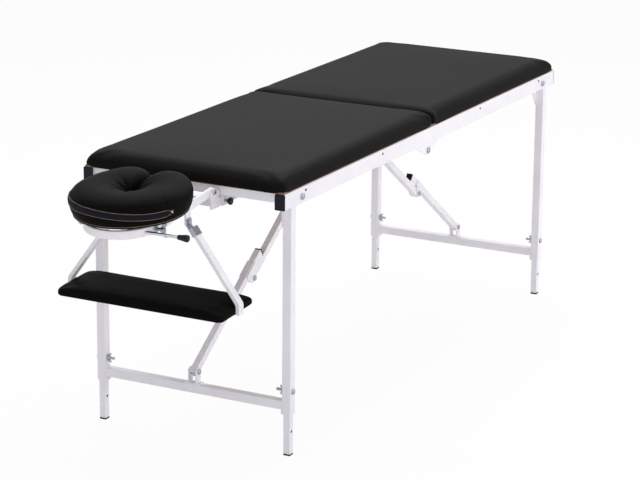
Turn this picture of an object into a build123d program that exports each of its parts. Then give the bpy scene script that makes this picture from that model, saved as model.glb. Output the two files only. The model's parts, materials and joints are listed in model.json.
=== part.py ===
from build123d import *
import math
import os

os.makedirs("parts", exist_ok=True)

# A folding treatment table, in millimetres. While it is built, X runs from the head end of
# the rails (0) to their foot end, the near side is -Y and the floor is Z = 0. At the end all
# pieces move along X together, so that the origin lies under the middle of the whole part.

# Table
table_length = 1810.0
table_width = 620.0
rail_top = 738.0
seam_gap = 0.4
running_gap = 0.3
fit_gap = 0.1
bore_gap = 0.05
cut_over = 5.0
inner_corner_share = 0.25
bolt_dome_share = 0.6

# Side rails and the two cross rails of each half
rail_height = 43.5
rail_depth = 30.0
rail_wall = 2.0
rail_corner = 3.0
cap_flange = 2.5
cap_plug = 18.0
seam_plug_inset = 1.0
end_rail_setback = 14.0
end_rail_depth = 25.0
end_rail_height = 28.0
mid_rail_depth = 20.0
mid_rail_height = 30.0
cross_rail_corner = 2.0
slot_width = 3.5
slot_height = 6.5
slot_from_end = 122.0
slot_mid_from_end = 577.0
slot_below_top = 11.3

# Boards and main cushions
board_thickness = 5.0
board_inset = 4.0
cushion_thickness = 45.0
cushion_crown = 7.0
cushion_side_draw = 5.0
cushion_end_round = 62.0
cushion_seam_round = 26.0
cushion_end_inset = 2.5
cushion_lip = 9.0
cushion_corner_draw = 12.0
end_turn_shares = (0.1, 0.3, 0.55, 0.8, 1.0)
middle_shares = (0.1, 0.35, 0.65, 0.9)
seam_drop_share = 0.55

# Mid hinges under the side rails
hinge_drop = 30.5
hinge_reach = 85.0
hinge_plate = 4.0
hinge_plate_inset = 18.0
hinge_eye = 13.5
hinge_foot = 8.0
hinge_bolt = 8.0
hinge_head = 18.0
hinge_head_height = 5.0
hinge_nut = 13.0
hinge_nut_height = 6.5

# Legs
leg_tube = 26.0
leg_wall = 2.7
leg_corner = 2.0
leg_from_end = 45.0
leg_bottom = 117.0
leg_stop_gap = 0.4
leg_swing = 90.0
pivot_from_end = 95.0
pivot_below_top = 24.0
pivot_plate = 4.0
pivot_eye = 14.0
pivot_plate_drop = 58.0
pivot_bolt = 10.0
pivot_head = 18.0
pivot_head_height = 6.0
pivot_nut = 17.0
pivot_nut_height = 8.0
crossbar_size = 25.0
crossbar_bottom = 129.5
crossbar_wall = 2.0
crossbar_plate = 3.0
crossbar_plate_height = 40.0

# Telescopic leg ends
extension_tube = 20.0
extension_wall = 1.5
extension_corner = 1.5
extension_top = 330.0
extension_travel = 55.0
lock_height = 182.0
lock_bolt = 8.0
lock_head = 16.0
lock_head_height = 5.0
lock_stud = 22.0
spare_hole_height = 68.0
foot_pad = 5.0
foot_plug = 20.0
wing_hub = 13.0
wing_hub_height = 8.0
wing_span = 26.0
wing_rise = 14.0
wing_thickness = 3.0
wing_foot_share = 0.25
wing_gap_share = 0.5

# Leg braces, which break at an elbow when a leg set folds
strut_tube = 20.0
strut_wall = 1.6
strut_corner = 1.5
strut_offset = 25.0
strut_pin = 8.0
clevis_outward = 35.0
clevis_drop = 526.0
top_pin_setback = 19.8
top_pin_above_pivot = 8.0
ear_thickness = 3.0
ear_radius = 12.0
ear_foot = 14.0
strut_foot_past_pin = 10.0
strut_elbow_past_pin = 10.0
strut_head_past_pin = 10.0
strut_overlap = 31.0
stub_length = 43.0
stub_plug_flange = 2.0
stub_plug_depth = 10.0
lug_radius = 12.0
lug_length = 58.0
pin_head = 15.0
pin_head_height = 5.0
pin_nut = 13.0
pin_nut_height = 6.0
bracket_web = 3.0
bracket_margin = 8.0
bracket_height = 28.0
clevis_base_width = 46.0

# Headrest carriage: two posts with side plates, sliding in sockets under the head end rail
headrest_half_width = 108.0
post_width = 10.4
post_height = 22.4
post_inner_end = 150.0
post_outer_end = -4.0
socket_wall = 2.5
socket_length = 42.0
socket_start = 10.0
socket_clearance = 0.3
side_plate = 4.0
side_plate_out = 39.0
side_plate_in = 5.0
side_plate_low = 681.0
side_plate_corner = 10.0
cross_plate = 3.0
cross_plate_height = 22.0
tilt_out = 24.0
tilt_height = 726.5
tilt_bolt = 8.0
tilt_head = 14.0
tilt_head_height = 4.5
tilt_nut = 13.0
tilt_nut_height = 4.5
knob_stud = 8.0
knob_diameter = 20.5
knob_length = 12.0
knob_out = 10.0
knob_from_end = 18.0
knob_flutes = 8
knob_flute_share = 0.18

# Hoop that carries the face pad, bent from one bar
hoop_slope = 6.6
hoop_bar = 10.0
hoop_height = 24.0
hoop_edge = 3.0
hoop_bend_out = 283.0
clamp_out = 333.0
clamp_rod_diameter = 8.0
clamp_knob_far = 219.5
clamp_knob_length = 31.0
clamp_knob_big = 19.5
clamp_knob_small = 12.5
clamp_knob_round = 3.0
clamp_collar = 13.0
clamp_collar_length = 5.0
clamp_tail = 4.0
stud_out = 304.0
stud_diameter = 8.0
stud_head = 14.0
stud_head_height = 4.0
stud_washer = 17.0
stud_washer_thickness = 1.6
stud_nut_from = 121.0
stud_reach = 134.0
stud_nut_hub = 15.0
stud_nut_hub_height = 9.0
stud_nut_span = 38.0
stud_nut_rise = 20.0

# Face pad
pad_out = 251.0
pad_slope = 4.6
pad_above_rod = 27.85
pad_half_length = 163.0
pad_half_width = 158.0
pad_thickness = 61.0
pad_board = 6.0
pad_board_inset = 9.0
pad_top_round = 38.0
pad_low_round = 14.0
face_hole_length = 118.0
face_hole_width = 96.0
face_slit = 26.0
face_lug = 4.0
face_lug_half_span = 64.0
face_lug_eye = 9.0
face_lug_foot = 34.0
stay_length = 24.0
stay_thickness = 4.0
stay_below_stud = 14.0
pad_swing = 8.0

# Arm shelf hanging under the hoop on two splayed tubes
shelf_out = 144.0
shelf_hinge_drop = 39.6
shelf_hang = 223.3
shelf_length = 505.0
shelf_depth = 165.0
shelf_board = 9.0
shelf_pad = 13.0
shelf_corner = 16.0
shelf_pad_round = 9.0
shelf_pad_inset = 1.0
strap_width = 24.0
strap_thickness = 10.0
strap_wall = 1.2
strap_bend = 16.0
strap_start = 9.0
strap_lip = 3.0
strap_lip_length = 45.0
bracket_plate = 3.0
bracket_ear_rise = 12.0
bracket_bend_drop = 8.6
bracket_bend = 2.5
bracket_length = 34.0
bracket_sleeve = 28.0
bracket_sleeve_wall = 2.0
bracket_ear_corner = 8.0
hanger_thickness = 5.0
hanger_seat_share = 0.33
shelf_rivet = 7.0
shelf_rivet_head = 13.0
shelf_head_height = 3.0

# Places that several pieces share
half_length = (table_length - seam_gap) / 2
rail_outer = table_width / 2
rail_inner = rail_outer - rail_depth
rail_low = rail_top - rail_height
board_top = rail_top + board_thickness
end_rail_low = rail_top - end_rail_height
mid_rail_start = half_length - mid_rail_depth
leg_inner = rail_inner - running_gap
leg_outer = leg_inner + leg_tube
leg_middle = (leg_inner + leg_outer) / 2
leg_centre = leg_from_end + leg_tube / 2
leg_top = rail_low - leg_stop_gap
pivot_x = pivot_from_end
pivot_z = rail_top - pivot_below_top
hinge_z = rail_low - hinge_drop
hinge_outer = rail_outer - hinge_plate_inset
crossbar_top = crossbar_bottom + crossbar_size


def along_x(start, length, width, height, corner, wall=0.0):
    """A bar or tube along +X from the middle of its first end."""
    return along(Plane.YZ, start, length, width, height, corner, wall)


def along_y(start, length, depth, height, corner, wall=0.0):
    """A bar or tube along +Y, with its depth along X and its height along Z."""
    return along(Plane.ZX, start, length, height, depth, corner, wall)


def along_z(start, length, depth, width, corner, wall=0.0):
    """A bar or tube along +Z, with its depth along X and its width along Y."""
    return along(Plane.XY, start, length, depth, width, corner, wall)


def along(plane, start, length, first, second, corner, wall):
    outline = RectangleRounded(first, second, corner)
    if wall:
        inner_corner = max(corner - wall, corner * inner_corner_share)
        outline -= RectangleRounded(first - 2 * wall, second - 2 * wall, inner_corner)
    return Pos(*start) * extrude(plane * outline, length)


def block(low, high):
    """A box between two opposite corners."""
    size = [b - a for a, b in zip(low, high)]
    middle = [(a + b) / 2 for a, b in zip(low, high)]
    return Pos(*middle) * Box(*size)


def round_y(centre, length, diameter, far_diameter=None):
    """A round pin along +Y from the centre of its first end, tapered if asked."""
    plane = Plane(origin=centre, x_dir=(1, 0, 0), z_dir=(0, 1, 0))
    if far_diameter is None:
        return extrude(plane * Circle(diameter / 2), length)
    far_plane = plane.offset(length)
    return loft([plane * Circle(diameter / 2), far_plane * Circle(far_diameter / 2)])


def hex_y(centre, length, width):
    """A hexagon nut or head along +Y, by its width across flats."""
    plane = Plane(origin=centre, x_dir=(1, 0, 0), z_dir=(0, 1, 0))
    return extrude(plane * RegularPolygon(width / 2, 6, major_radius=False), length)


def plate_y(outline, low, thickness):
    """A plate in the XZ plane from its outline, drawn with x along X and y along Z."""
    plane = Plane(origin=(0, low + thickness, 0), x_dir=(1, 0, 0), z_dir=(0, -1, 0))
    return extrude(plane * outline, thickness)


def hull(*shapes):
    """The outline that a band stretched round several sketches would take."""
    edges = []
    for shape in shapes:
        edges.extend(shape.edges())
    return make_hull(edges)


def both_sides(shape):
    """A piece of the near side with its twin on the far side."""
    return [shape, shape.mirror(Plane.XZ)]


def domed_bolt(x, z, face, head, head_height, shank, length):
    """A bolt whose domed head lies on the near face, with its shank going inward to +Y."""
    top = round_y((x, face - head_height, z), head_height, head)
    return fillet_end(top, head_height * bolt_dome_share) + round_y((x, face, z), length, shank)


def fillet_end(pin, radius):
    """Rounds the outer rim of a round head, the one at the lowest Y."""
    rim = pin.edges().sort_by(Axis.Y)[0]
    return fillet(rim, radius)


def foot_half(shapes):
    """The same pieces on the foot half of the table."""
    middle = Plane.YZ.offset(table_length / 2)
    return [shape.mirror(middle) for shape in shapes]


# Side rails, with a bore for each leg pivot and narrow slots in the outer face
def side_rail():
    start = (cap_flange, -rail_outer + rail_depth / 2, rail_top - rail_height / 2)
    rail = along_x(start, half_length - cap_flange, rail_depth, rail_height, rail_corner, rail_wall)
    bore = pivot_bolt + 2 * bore_gap
    rail -= round_y((pivot_x, -rail_outer - cut_over, pivot_z), rail_depth + 2 * cut_over, bore)
    for x in (slot_from_end, slot_mid_from_end):
        slot = SlotOverall(slot_height, slot_width, rotation=90)
        cut = plate_y(slot, -rail_outer - cut_over, cut_over + rail_wall + fit_gap)
        rail -= Pos(x, 0, rail_top - slot_below_top) * cut
    return rail


def cross_rails():
    width = 2 * rail_inner
    end_start = (end_rail_setback + end_rail_depth / 2, -rail_inner, rail_top - end_rail_height / 2)
    mid_start = (mid_rail_start + mid_rail_depth / 2, -rail_inner, rail_top - mid_rail_height / 2)
    end_rail = along_y(end_start, width, end_rail_depth, end_rail_height, cross_rail_corner, rail_wall)
    mid_rail = along_y(mid_start, width, mid_rail_depth, mid_rail_height, cross_rail_corner, rail_wall)
    return [end_rail, mid_rail]


def rail_caps():
    """A flanged plug in the outer end of a side rail and a flush plug at the seam."""
    middle = (-rail_outer + rail_depth / 2, rail_top - rail_height / 2)
    bore = [size - 2 * rail_wall - 2 * fit_gap for size in (rail_depth, rail_height)]
    flange = along_x((0, *middle), cap_flange, rail_depth, rail_height, rail_corner)
    plug = along_x((cap_flange, *middle), cap_plug, *bore, rail_corner / 2)
    seam_start = half_length - seam_plug_inset - cap_plug
    seam_plug = along_x((seam_start, *middle), cap_plug, *bore, rail_corner / 2)
    return both_sides(flange + plug) + both_sides(seam_plug)


def board():
    length = half_length - cap_flange
    slab = Box(length, table_width - 2 * board_inset, board_thickness)
    return Pos(cap_flange + length / 2, 0, rail_top + board_thickness / 2) * slab


def cushion_section(x, rise, draw):
    """One cross-section of a cushion: flat below, bulging sides and a crowned top."""
    half = rail_outer - draw
    foot = half - cushion_side_draw
    shoulder = board_top + cushion_lip + (cushion_thickness - cushion_crown - cushion_lip) * rise
    crown = shoulder + cushion_crown * rise + fit_gap
    shoulder_half = half - cushion_side_draw
    waist = (board_top + shoulder) / 2
    bottom = Line((-foot, board_top), (foot, board_top))
    right = ThreePointArc((foot, board_top), (half, waist), (shoulder_half, shoulder))
    top = ThreePointArc((shoulder_half, shoulder), (0, crown), (-shoulder_half, shoulder))
    left = ThreePointArc((-shoulder_half, shoulder), (-half, waist), (-foot, board_top))
    return Pos(x, 0, 0) * (Plane.YZ * make_face([bottom, right, top, left]))


def cushion():
    """A half cushion with a crown, bulging sides and both ends drawn in."""
    start = cushion_end_inset
    end = half_length
    sections = []
    for share in end_turn_shares:
        turn = share * math.pi / 2
        x = start + cushion_end_round * (1 - math.cos(turn))
        sections.append((x, math.sin(turn), cushion_corner_draw * (1 - math.sin(turn))))
    flat_start = start + cushion_end_round
    flat_length = end - cushion_seam_round - flat_start
    for share in middle_shares:
        sections.append((flat_start + share * flat_length, 1.0, 0.0))
    for share in reversed(end_turn_shares):
        turn = share * math.pi / 2
        x = end - cushion_seam_round * (1 - math.cos(turn))
        rise = 1 - (1 - math.sin(turn)) * seam_drop_share
        sections.append((x, rise, 0.0))
    return loft([cushion_section(*section) for section in sections])


def hinge_plates(outer_face):
    """Triangular hinge plates: the long edge on the rail, the eye round the hinge axis."""
    eye = Pos(table_length / 2, hinge_z) * Circle(hinge_eye)
    seat_middle = (half_length - hinge_reach / 2, rail_low - hinge_foot / 2)
    seat = Pos(*seat_middle) * Rectangle(hinge_reach, hinge_foot)
    bore = Pos(table_length / 2, hinge_z) * Circle(hinge_bolt / 2 + bore_gap)
    return both_sides(plate_y(hull(eye, seat) - bore, -outer_face, hinge_plate))


def hinge_bolt_piece():
    x = table_length / 2
    length = 2 * hinge_plate + running_gap + hinge_nut_height
    face = -hinge_outer
    bolt = domed_bolt(x, hinge_z, face, hinge_head, hinge_head_height, hinge_bolt, length)
    nut_start = (x, face + 2 * (hinge_plate + running_gap), hinge_z)
    return bolt + hex_y(nut_start, hinge_nut_height, hinge_nut)


# Leg sets
def leg():
    """One leg tube with its triangular pivot plate welded to the inner face."""
    start = (leg_centre, -leg_middle, leg_bottom)
    tube = along_z(start, leg_top - leg_bottom, leg_tube, leg_tube, leg_corner, leg_wall)
    through = leg_tube + 2 * cut_over
    tube -= round_y((leg_centre, -leg_outer - cut_over, lock_height), through, lock_bolt + 2 * bore_gap)
    eye = Pos(pivot_x, pivot_z) * Circle(pivot_eye)
    weld_low = leg_top - pivot_plate_drop
    weld_high = leg_top - leg_corner
    weld = Rectangle(leg_tube - leg_corner, weld_high - weld_low)
    weld = Pos(leg_centre, (weld_low + weld_high) / 2) * weld
    bore = Pos(pivot_x, pivot_z) * Circle(pivot_bolt / 2 + bore_gap)
    plate = plate_y(hull(eye, weld) - bore, -leg_inner, pivot_plate)
    return tube + plate


def crossbar():
    """The bar between the legs, with a flat plate welded at each end."""
    end = leg_inner - crossbar_plate
    start = (leg_centre, -end, crossbar_bottom + crossbar_size / 2)
    bar = along_y(start, 2 * end, crossbar_size, crossbar_size, leg_corner, crossbar_wall)
    low = (leg_centre - crossbar_size / 2, -leg_inner, leg_bottom)
    high = (leg_centre + crossbar_size / 2, -end, leg_bottom + crossbar_plate_height)
    plates = both_sides(block(low, high))
    return bar + plates[0] + plates[1]


def strut_clevis():
    """Two ears on a base that stands on the crossbar, one each side of the brace."""
    x = clevis_x
    ear_low = strut_tube / 2 + running_gap
    eye = Pos(x, clevis_z) * Circle(ear_radius)
    foot_z = crossbar_top + ear_foot / 2
    foot = Pos(leg_centre, foot_z) * Rectangle(crossbar_size - leg_corner, ear_foot)
    bore = Pos(x, clevis_z) * Circle(strut_pin / 2 + bore_gap)
    ear = plate_y(hull(eye, foot) - bore, -ear_low - ear_thickness, ear_thickness)
    base_half = (crossbar_size - leg_corner) / 2
    low = (leg_centre - base_half, -clevis_base_width / 2, crossbar_top)
    high = (leg_centre + base_half, clevis_base_width / 2, crossbar_top + ear_thickness)
    ears = both_sides(ear)
    return block(low, high) + ears[0] + ears[1]


def leg_bolts():
    """The two lock bolts and the two short studs of the brace clevis."""
    reach = lock_stud + leg_tube
    ear_face = strut_tube / 2 + running_gap + ear_thickness
    lock_place = (leg_centre, lock_height, -leg_outer)
    stud_place = (clevis_x, clevis_z, -ear_face)
    lock = domed_bolt(*lock_place, lock_head, lock_head_height, lock_bolt, reach)
    stud = domed_bolt(*stud_place, pin_head, pin_head_height, strut_pin, ear_thickness)
    return both_sides(lock) + both_sides(stud)


def extension():
    """A telescopic leg end with the long slot that the lock bolt runs in."""
    start = (leg_centre, -leg_middle, foot_pad)
    length = extension_top - foot_pad
    tube = along_z(start, length, extension_tube, extension_tube, extension_corner, extension_wall)
    slot_length = 2 * extension_travel + lock_bolt + 4 * running_gap
    slot = SlotOverall(slot_length, lock_bolt + 2 * bore_gap, rotation=90)
    through = leg_tube + 2 * cut_over
    cut = plate_y(slot, -leg_outer - cut_over, through)
    tube -= Pos(leg_centre, 0, lock_height) * cut
    tube -= round_y((leg_centre, -leg_outer - cut_over, spare_hole_height), through, lock_bolt)
    return tube


def rubber_foot():
    start = (leg_centre, -leg_middle, 0)
    pad = along_z(start, foot_pad, extension_tube, extension_tube, extension_corner)
    bore = extension_tube - 2 * extension_wall - 2 * fit_gap
    plug = along_z((leg_centre, -leg_middle, foot_pad), foot_plug, bore, bore, extension_corner / 2)
    return pad + plug


def wing_nut(centre, hub, hub_height, span, rise, bore):
    """A wing nut along +Y from its seat, its two wings standing up and down from the hub."""
    body = round_y(centre, hub_height, hub)
    gap = Rectangle(wing_thickness + cut_over, hub * wing_gap_share)
    wings = Rectangle(wing_thickness, span) - gap
    foot = hub_height * wing_foot_share
    plane = Plane(origin=centre, x_dir=(1, 0, 0), z_dir=(0, 1, 0))
    body += extrude(plane.offset(foot) * wings, rise - foot)
    bore_start = (centre[0], centre[1] - cut_over, centre[2])
    return body - round_y(bore_start, hub_height + rise + 2 * cut_over, bore)


def leg_wing_nut():
    centre = (leg_centre, -leg_inner + running_gap, lock_height)
    bore = lock_bolt + 2 * bore_gap
    return wing_nut(centre, wing_hub, wing_hub_height, wing_span, wing_rise, bore)


# The folding brace of the head half, worked out from its two end pins, with the leg set
# open and with it turned up under the board
clevis_x = pivot_x - clevis_outward
clevis_z = pivot_z - clevis_drop
top_pin_x = mid_rail_start - top_pin_setback
top_pin_z = pivot_z + top_pin_above_pivot
leg_turn = math.radians(leg_swing)
folded_x = pivot_x - clevis_outward * math.cos(leg_turn) + clevis_drop * math.sin(leg_turn)
folded_z = pivot_z - clevis_outward * math.sin(leg_turn) - clevis_drop * math.cos(leg_turn)
open_span = math.hypot(top_pin_x - clevis_x, top_pin_z - clevis_z)
shut_span = math.hypot(top_pin_x - folded_x, top_pin_z - folded_z)
strut_sum = math.sqrt(open_span ** 2 - strut_offset ** 2)
strut_difference = math.sqrt(shut_span ** 2 - strut_offset ** 2)
lower_length = (strut_sum - strut_difference) / 2
upper_length = (strut_sum + strut_difference) / 2
open_slope = math.atan2(top_pin_z - clevis_z, top_pin_x - clevis_x) + math.atan(strut_offset / strut_sum)
shut_slope = math.atan2(top_pin_z - folded_z, top_pin_x - folded_x)
shut_slope -= math.atan(strut_offset / strut_difference)
brace_swing = math.degrees(open_slope - shut_slope)
elbow_x = clevis_x + lower_length * math.cos(open_slope) + strut_offset * math.sin(open_slope)
elbow_z = clevis_z + lower_length * math.sin(open_slope) - strut_offset * math.cos(open_slope)


def on_brace(shape):
    """Turns a piece drawn along X from the brace's foot pin onto the open brace."""
    return Pos(clevis_x, 0, clevis_z) * Rot(0, -math.degrees(open_slope), 0) * shape


def pin_bore(along_brace, below, diameter):
    start = (along_brace, -strut_tube - cut_over, -below)
    return round_y(start, 2 * (strut_tube + cut_over), diameter)


def lower_strut():
    """The lower tube with two lugs that reach down to the elbow pin."""
    start = (-strut_foot_past_pin, 0, 0)
    length = strut_foot_past_pin + lower_length + strut_overlap
    tube = along_x(start, length, strut_tube, strut_tube, strut_corner, strut_wall)
    bore = strut_pin + 2 * bore_gap
    tube -= pin_bore(0, 0, bore)
    eye = Pos(lower_length, -strut_offset) * Circle(lug_radius)
    band_middle = lower_length + strut_overlap - lug_length / 2
    band = Pos(band_middle, 0) * Rectangle(lug_length, strut_tube - 2 * strut_corner)
    hole = Pos(lower_length, -strut_offset) * Circle(bore / 2)
    lug = plate_y(hull(eye, band) - hole, -strut_tube / 2 - ear_thickness, ear_thickness)
    lugs = both_sides(lug)
    return on_brace(tube + lugs[0] + lugs[1])


def upper_strut():
    """The upper tube, with the short stub on its saddle that the lower tube butts against."""
    width = strut_tube - 2 * running_gap
    start = (lower_length - strut_elbow_past_pin, 0, -strut_offset)
    length = strut_elbow_past_pin + upper_length + strut_head_past_pin
    tube = along_x(start, length, width, strut_tube, strut_corner, strut_wall)
    bore = strut_pin + 2 * bore_gap
    tube -= pin_bore(lower_length, strut_offset, bore)
    tube -= pin_bore(lower_length + upper_length, strut_offset, bore)
    stub_start = lower_length + strut_overlap + running_gap
    stub = along_x((stub_start, 0, 0), stub_length, width, strut_tube, strut_corner, strut_wall)
    saddle_low = (stub_start, -width / 2 + strut_corner, strut_tube / 2 - strut_offset)
    saddle_high = (stub_start + stub_length, width / 2 - strut_corner, -strut_tube / 2)
    return on_brace(tube + stub + block(saddle_low, saddle_high))


def strut_plug():
    """The plug in the upper end of the stub."""
    width = strut_tube - 2 * running_gap
    start = lower_length + strut_overlap + running_gap + stub_length
    flange = along_x((start, 0, 0), stub_plug_flange, width, strut_tube, strut_corner)
    bore = [size - 2 * strut_wall - 2 * fit_gap for size in (width, strut_tube)]
    plug = along_x((start - stub_plug_depth, 0, 0), stub_plug_depth, *bore, strut_corner / 2)
    return on_brace(flange + plug)


def through_pin(x, z, half_grip):
    """A bolt across the brace, with a domed head on the near side and a nut on the far side."""
    length = 2 * half_grip + pin_nut_height
    pin = domed_bolt(x, z, -half_grip, pin_head, pin_head_height, strut_pin, length)
    return pin + hex_y((x, half_grip, z), pin_nut_height, pin_nut)


def elbow_bolt():
    return through_pin(elbow_x, elbow_z, strut_tube / 2 + ear_thickness + bore_gap)


def strut_bracket():
    """The forked bracket on the mid rail that holds the top of the brace, and its bolt."""
    web_x = mid_rail_start - bracket_web
    ear_low = strut_tube / 2
    outer = ear_low + ear_thickness
    web_half = outer + bracket_margin
    low_z = rail_top - mid_rail_height
    web = block((web_x, -web_half, low_z), (mid_rail_start, web_half, low_z + bracket_height))
    eye = Pos(top_pin_x, top_pin_z) * Circle(ear_radius)
    foot = Rectangle(bracket_web, bracket_height)
    foot = Pos(web_x + bracket_web / 2, low_z + bracket_height / 2) * foot
    bore = Pos(top_pin_x, top_pin_z) * Circle(strut_pin / 2 + bore_gap)
    ears = both_sides(plate_y(hull(eye, foot) - bore, -outer, ear_thickness))
    return [web + ears[0] + ears[1], through_pin(top_pin_x, top_pin_z, outer)]


# Headrest: carriage, knobs, hoop, clamp rod, face pad and arm shelf
side_plate_inner = headrest_half_width + running_gap
post_middle = side_plate_inner + side_plate
post_z = end_rail_low - socket_wall - socket_clearance - post_height / 2
socket_outer = post_middle + post_width / 2 + socket_clearance + socket_wall
tilt_x = -tilt_out
clamp_x = -clamp_out


def arm_height(out):
    """The height of the middle of the sloping hoop, at a place out from the head end."""
    return tilt_height - (out - tilt_out) * math.tan(math.radians(hoop_slope))


def arm_half_width(out, radius):
    """Half the width across the hoop's bend, on a circle about the bend's middle."""
    along_arm = (out - tilt_out) / math.cos(math.radians(hoop_slope))
    past_bend = max(along_arm - (hoop_bend_out - tilt_out), 0)
    return math.sqrt(radius ** 2 - past_bend ** 2)


clamp_z = arm_height(clamp_out)
stud_z = arm_height(stud_out)
collar_seat = arm_half_width(clamp_out - clamp_collar / 2, headrest_half_width) + running_gap
stay_reach = stud_out + stay_length / 2 + stay_below_stud * math.sin(math.radians(hoop_slope))
stay_outer = arm_half_width(stay_reach, headrest_half_width - hoop_bar) - running_gap
pad_low = clamp_z + pad_above_rod
shelf_hinge_height = arm_height(shelf_out) - shelf_hinge_drop
shelf_low = shelf_hinge_height - shelf_hang


def headrest_sockets():
    width = post_width + 2 * (socket_clearance + socket_wall)
    height = post_height + 2 * (socket_clearance + socket_wall)
    start = (socket_start, -post_middle, post_z)
    socket = along_x(start, socket_length, width, height, cross_rail_corner, socket_wall)
    bore_start = (knob_from_end, -socket_outer - cut_over, post_z)
    socket -= round_y(bore_start, cut_over + socket_wall + fit_gap, knob_stud + 2 * bore_gap)
    return both_sides(socket)


def headrest_bracket():
    """Two posts with rounded side plates, joined by a plate across."""
    length = post_inner_end - post_outer_end
    start = (post_outer_end, -post_middle, post_z)
    post = along_x(start, length, post_width, post_height, cross_rail_corner / 2)
    crown = Pos(tilt_x, tilt_height) * Circle(side_plate_corner)
    plate_length = side_plate_in + side_plate_out
    band = RectangleRounded(plate_length, side_plate_corner, side_plate_corner / 2 - fit_gap)
    middle = (side_plate_in - side_plate_out) / 2
    foot = Pos(middle, side_plate_low + side_plate_corner / 2) * band
    shoulder = Pos(middle, tilt_height - side_plate_corner / 2) * band
    bore = Pos(tilt_x, tilt_height) * Circle(tilt_bolt / 2 + bore_gap)
    plate = plate_y(hull(crown, foot, shoulder) - bore, -post_middle, side_plate)
    side = post + plate
    across_low = (post_outer_end - cross_plate, -side_plate_inner, side_plate_low)
    across_high = (post_outer_end, side_plate_inner, side_plate_low + cross_plate_height)
    sides = both_sides(side)
    return sides[0] + sides[1] + block(across_low, across_high)


def tilt_bolts():
    """The two bolts that the hoop tilts on, heads outside and nuts inside the arms."""
    outer = side_plate_inner + side_plate
    grip = outer - (headrest_half_width - hoop_bar)
    length = grip + tilt_nut_height
    bolt = domed_bolt(tilt_x, tilt_height, -outer, tilt_head, tilt_head_height, tilt_bolt, length)
    nut_start = (tilt_x, -outer + grip + running_gap, tilt_height)
    return both_sides(bolt + hex_y(nut_start, tilt_nut_height, tilt_nut))


def knob_head(centre, length, diameter):
    """A round grip with shallow flutes, along -Y from its inner face."""
    grip = round_y((centre[0], centre[1] - length, centre[2]), length, diameter)
    flute_radius = diameter * knob_flute_share / 2
    for index in range(knob_flutes):
        turn = 2 * math.pi * index / knob_flutes
        x = centre[0] + diameter / 2 * math.cos(turn)
        z = centre[2] + diameter / 2 * math.sin(turn)
        grip -= round_y((x, centre[1] - length - cut_over, z), length + 2 * cut_over, flute_radius)
    return grip


def socket_knob():
    """A clamp screw with its knob, its tip just off the post."""
    tip = -(post_middle + post_width / 2 + running_gap)
    knob_face = -(socket_outer + knob_out)
    stud = round_y((knob_from_end, knob_face, post_z), tip - knob_face, knob_stud)
    return stud + knob_head((knob_from_end, knob_face, post_z), knob_length, knob_diameter)


def on_hoop(shape):
    """Moves a piece drawn about the tilt axis onto the sloping hoop."""
    return Pos(tilt_x, 0, tilt_height) * Rot(0, -hoop_slope, 0) * shape


def hoop():
    """A bar bent into a U, with a hanger for the arm shelf under each arm."""
    bend_x = -(hoop_bend_out - tilt_out)
    arm_end = hoop_height / 2
    arm_length = arm_end - bend_x
    arm_middle = (arm_end + bend_x) / 2
    outer = Pos(arm_middle, 0) * Rectangle(arm_length, 2 * headrest_half_width)
    outer += Pos(bend_x, 0) * Circle(headrest_half_width)
    inner_half = headrest_half_width - hoop_bar
    inner = Pos(arm_middle + cut_over / 2, 0) * Rectangle(arm_length + cut_over, 2 * inner_half)
    inner += Pos(bend_x, 0) * Circle(inner_half)
    bar = Pos(0, 0, -hoop_height / 2) * extrude(outer - inner, hoop_height)
    side_length = arm_end - bend_x + headrest_half_width + cut_over
    side = Pos(arm_end - side_length / 2, 0) * SlotOverall(side_length + hoop_height, hoop_height)
    side = Pos(-hoop_height / 2, 0) * side
    bar = bar & plate_y(side, -headrest_half_width - cut_over, 2 * (headrest_half_width + cut_over))
    long_edges = bar.edges().filter_by(Axis.Y, reverse=True).filter_by(Axis.Z, reverse=True)
    bar = fillet(long_edges, hoop_edge)
    across = 2 * (headrest_half_width + cut_over)
    bore_start = (0, -headrest_half_width - cut_over, 0)
    bar -= round_y(bore_start, across, tilt_bolt + 2 * bore_gap)
    rod_x = -(clamp_out - tilt_out) / math.cos(math.radians(hoop_slope))
    bar -= round_y((rod_x, *bore_start[1:]), across, clamp_rod_diameter + 2 * bore_gap)
    stud_x = -(stud_out - tilt_out) / math.cos(math.radians(hoop_slope))
    bar -= round_y((stud_x, *bore_start[1:]), across / 2, stud_diameter + 2 * bore_gap)
    placed = on_hoop(bar)
    hangers = both_sides(hanger())
    return placed + hangers[0] + hangers[1]


def hanger():
    """A short plate from one arm down to the shelf's hinge rivet."""
    eye = Pos(-shelf_out, shelf_hinge_height) * Circle(strap_width / 2)
    top = Rectangle(strap_width, hoop_height * hanger_seat_share)
    top = Pos(-shelf_out, arm_height(shelf_out)) * top
    bore = Pos(-shelf_out, shelf_hinge_height) * Circle(shelf_rivet / 2 + bore_gap)
    return plate_y(hull(eye, top) - bore, -hanger_outer, hanger_thickness)


hanger_outer = headrest_half_width - (hoop_bar - hanger_thickness) / 2
ear_inner = hanger_outer + running_gap
ear_middle = ear_inner + bracket_plate / 2


def shelf_rivets():
    """The rivets that the arm shelf swings on, with a domed head outside each bracket."""
    seat = ear_inner + bracket_plate + running_gap
    inner = hanger_outer - hanger_thickness
    place = (-shelf_out, shelf_hinge_height, -seat)
    rivet = domed_bolt(*place, shelf_rivet_head, shelf_head_height, shelf_rivet, seat - inner)
    back = (-shelf_out, -inner, shelf_hinge_height)
    return both_sides(rivet + round_y(back, shelf_head_height, shelf_rivet_head))


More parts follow.
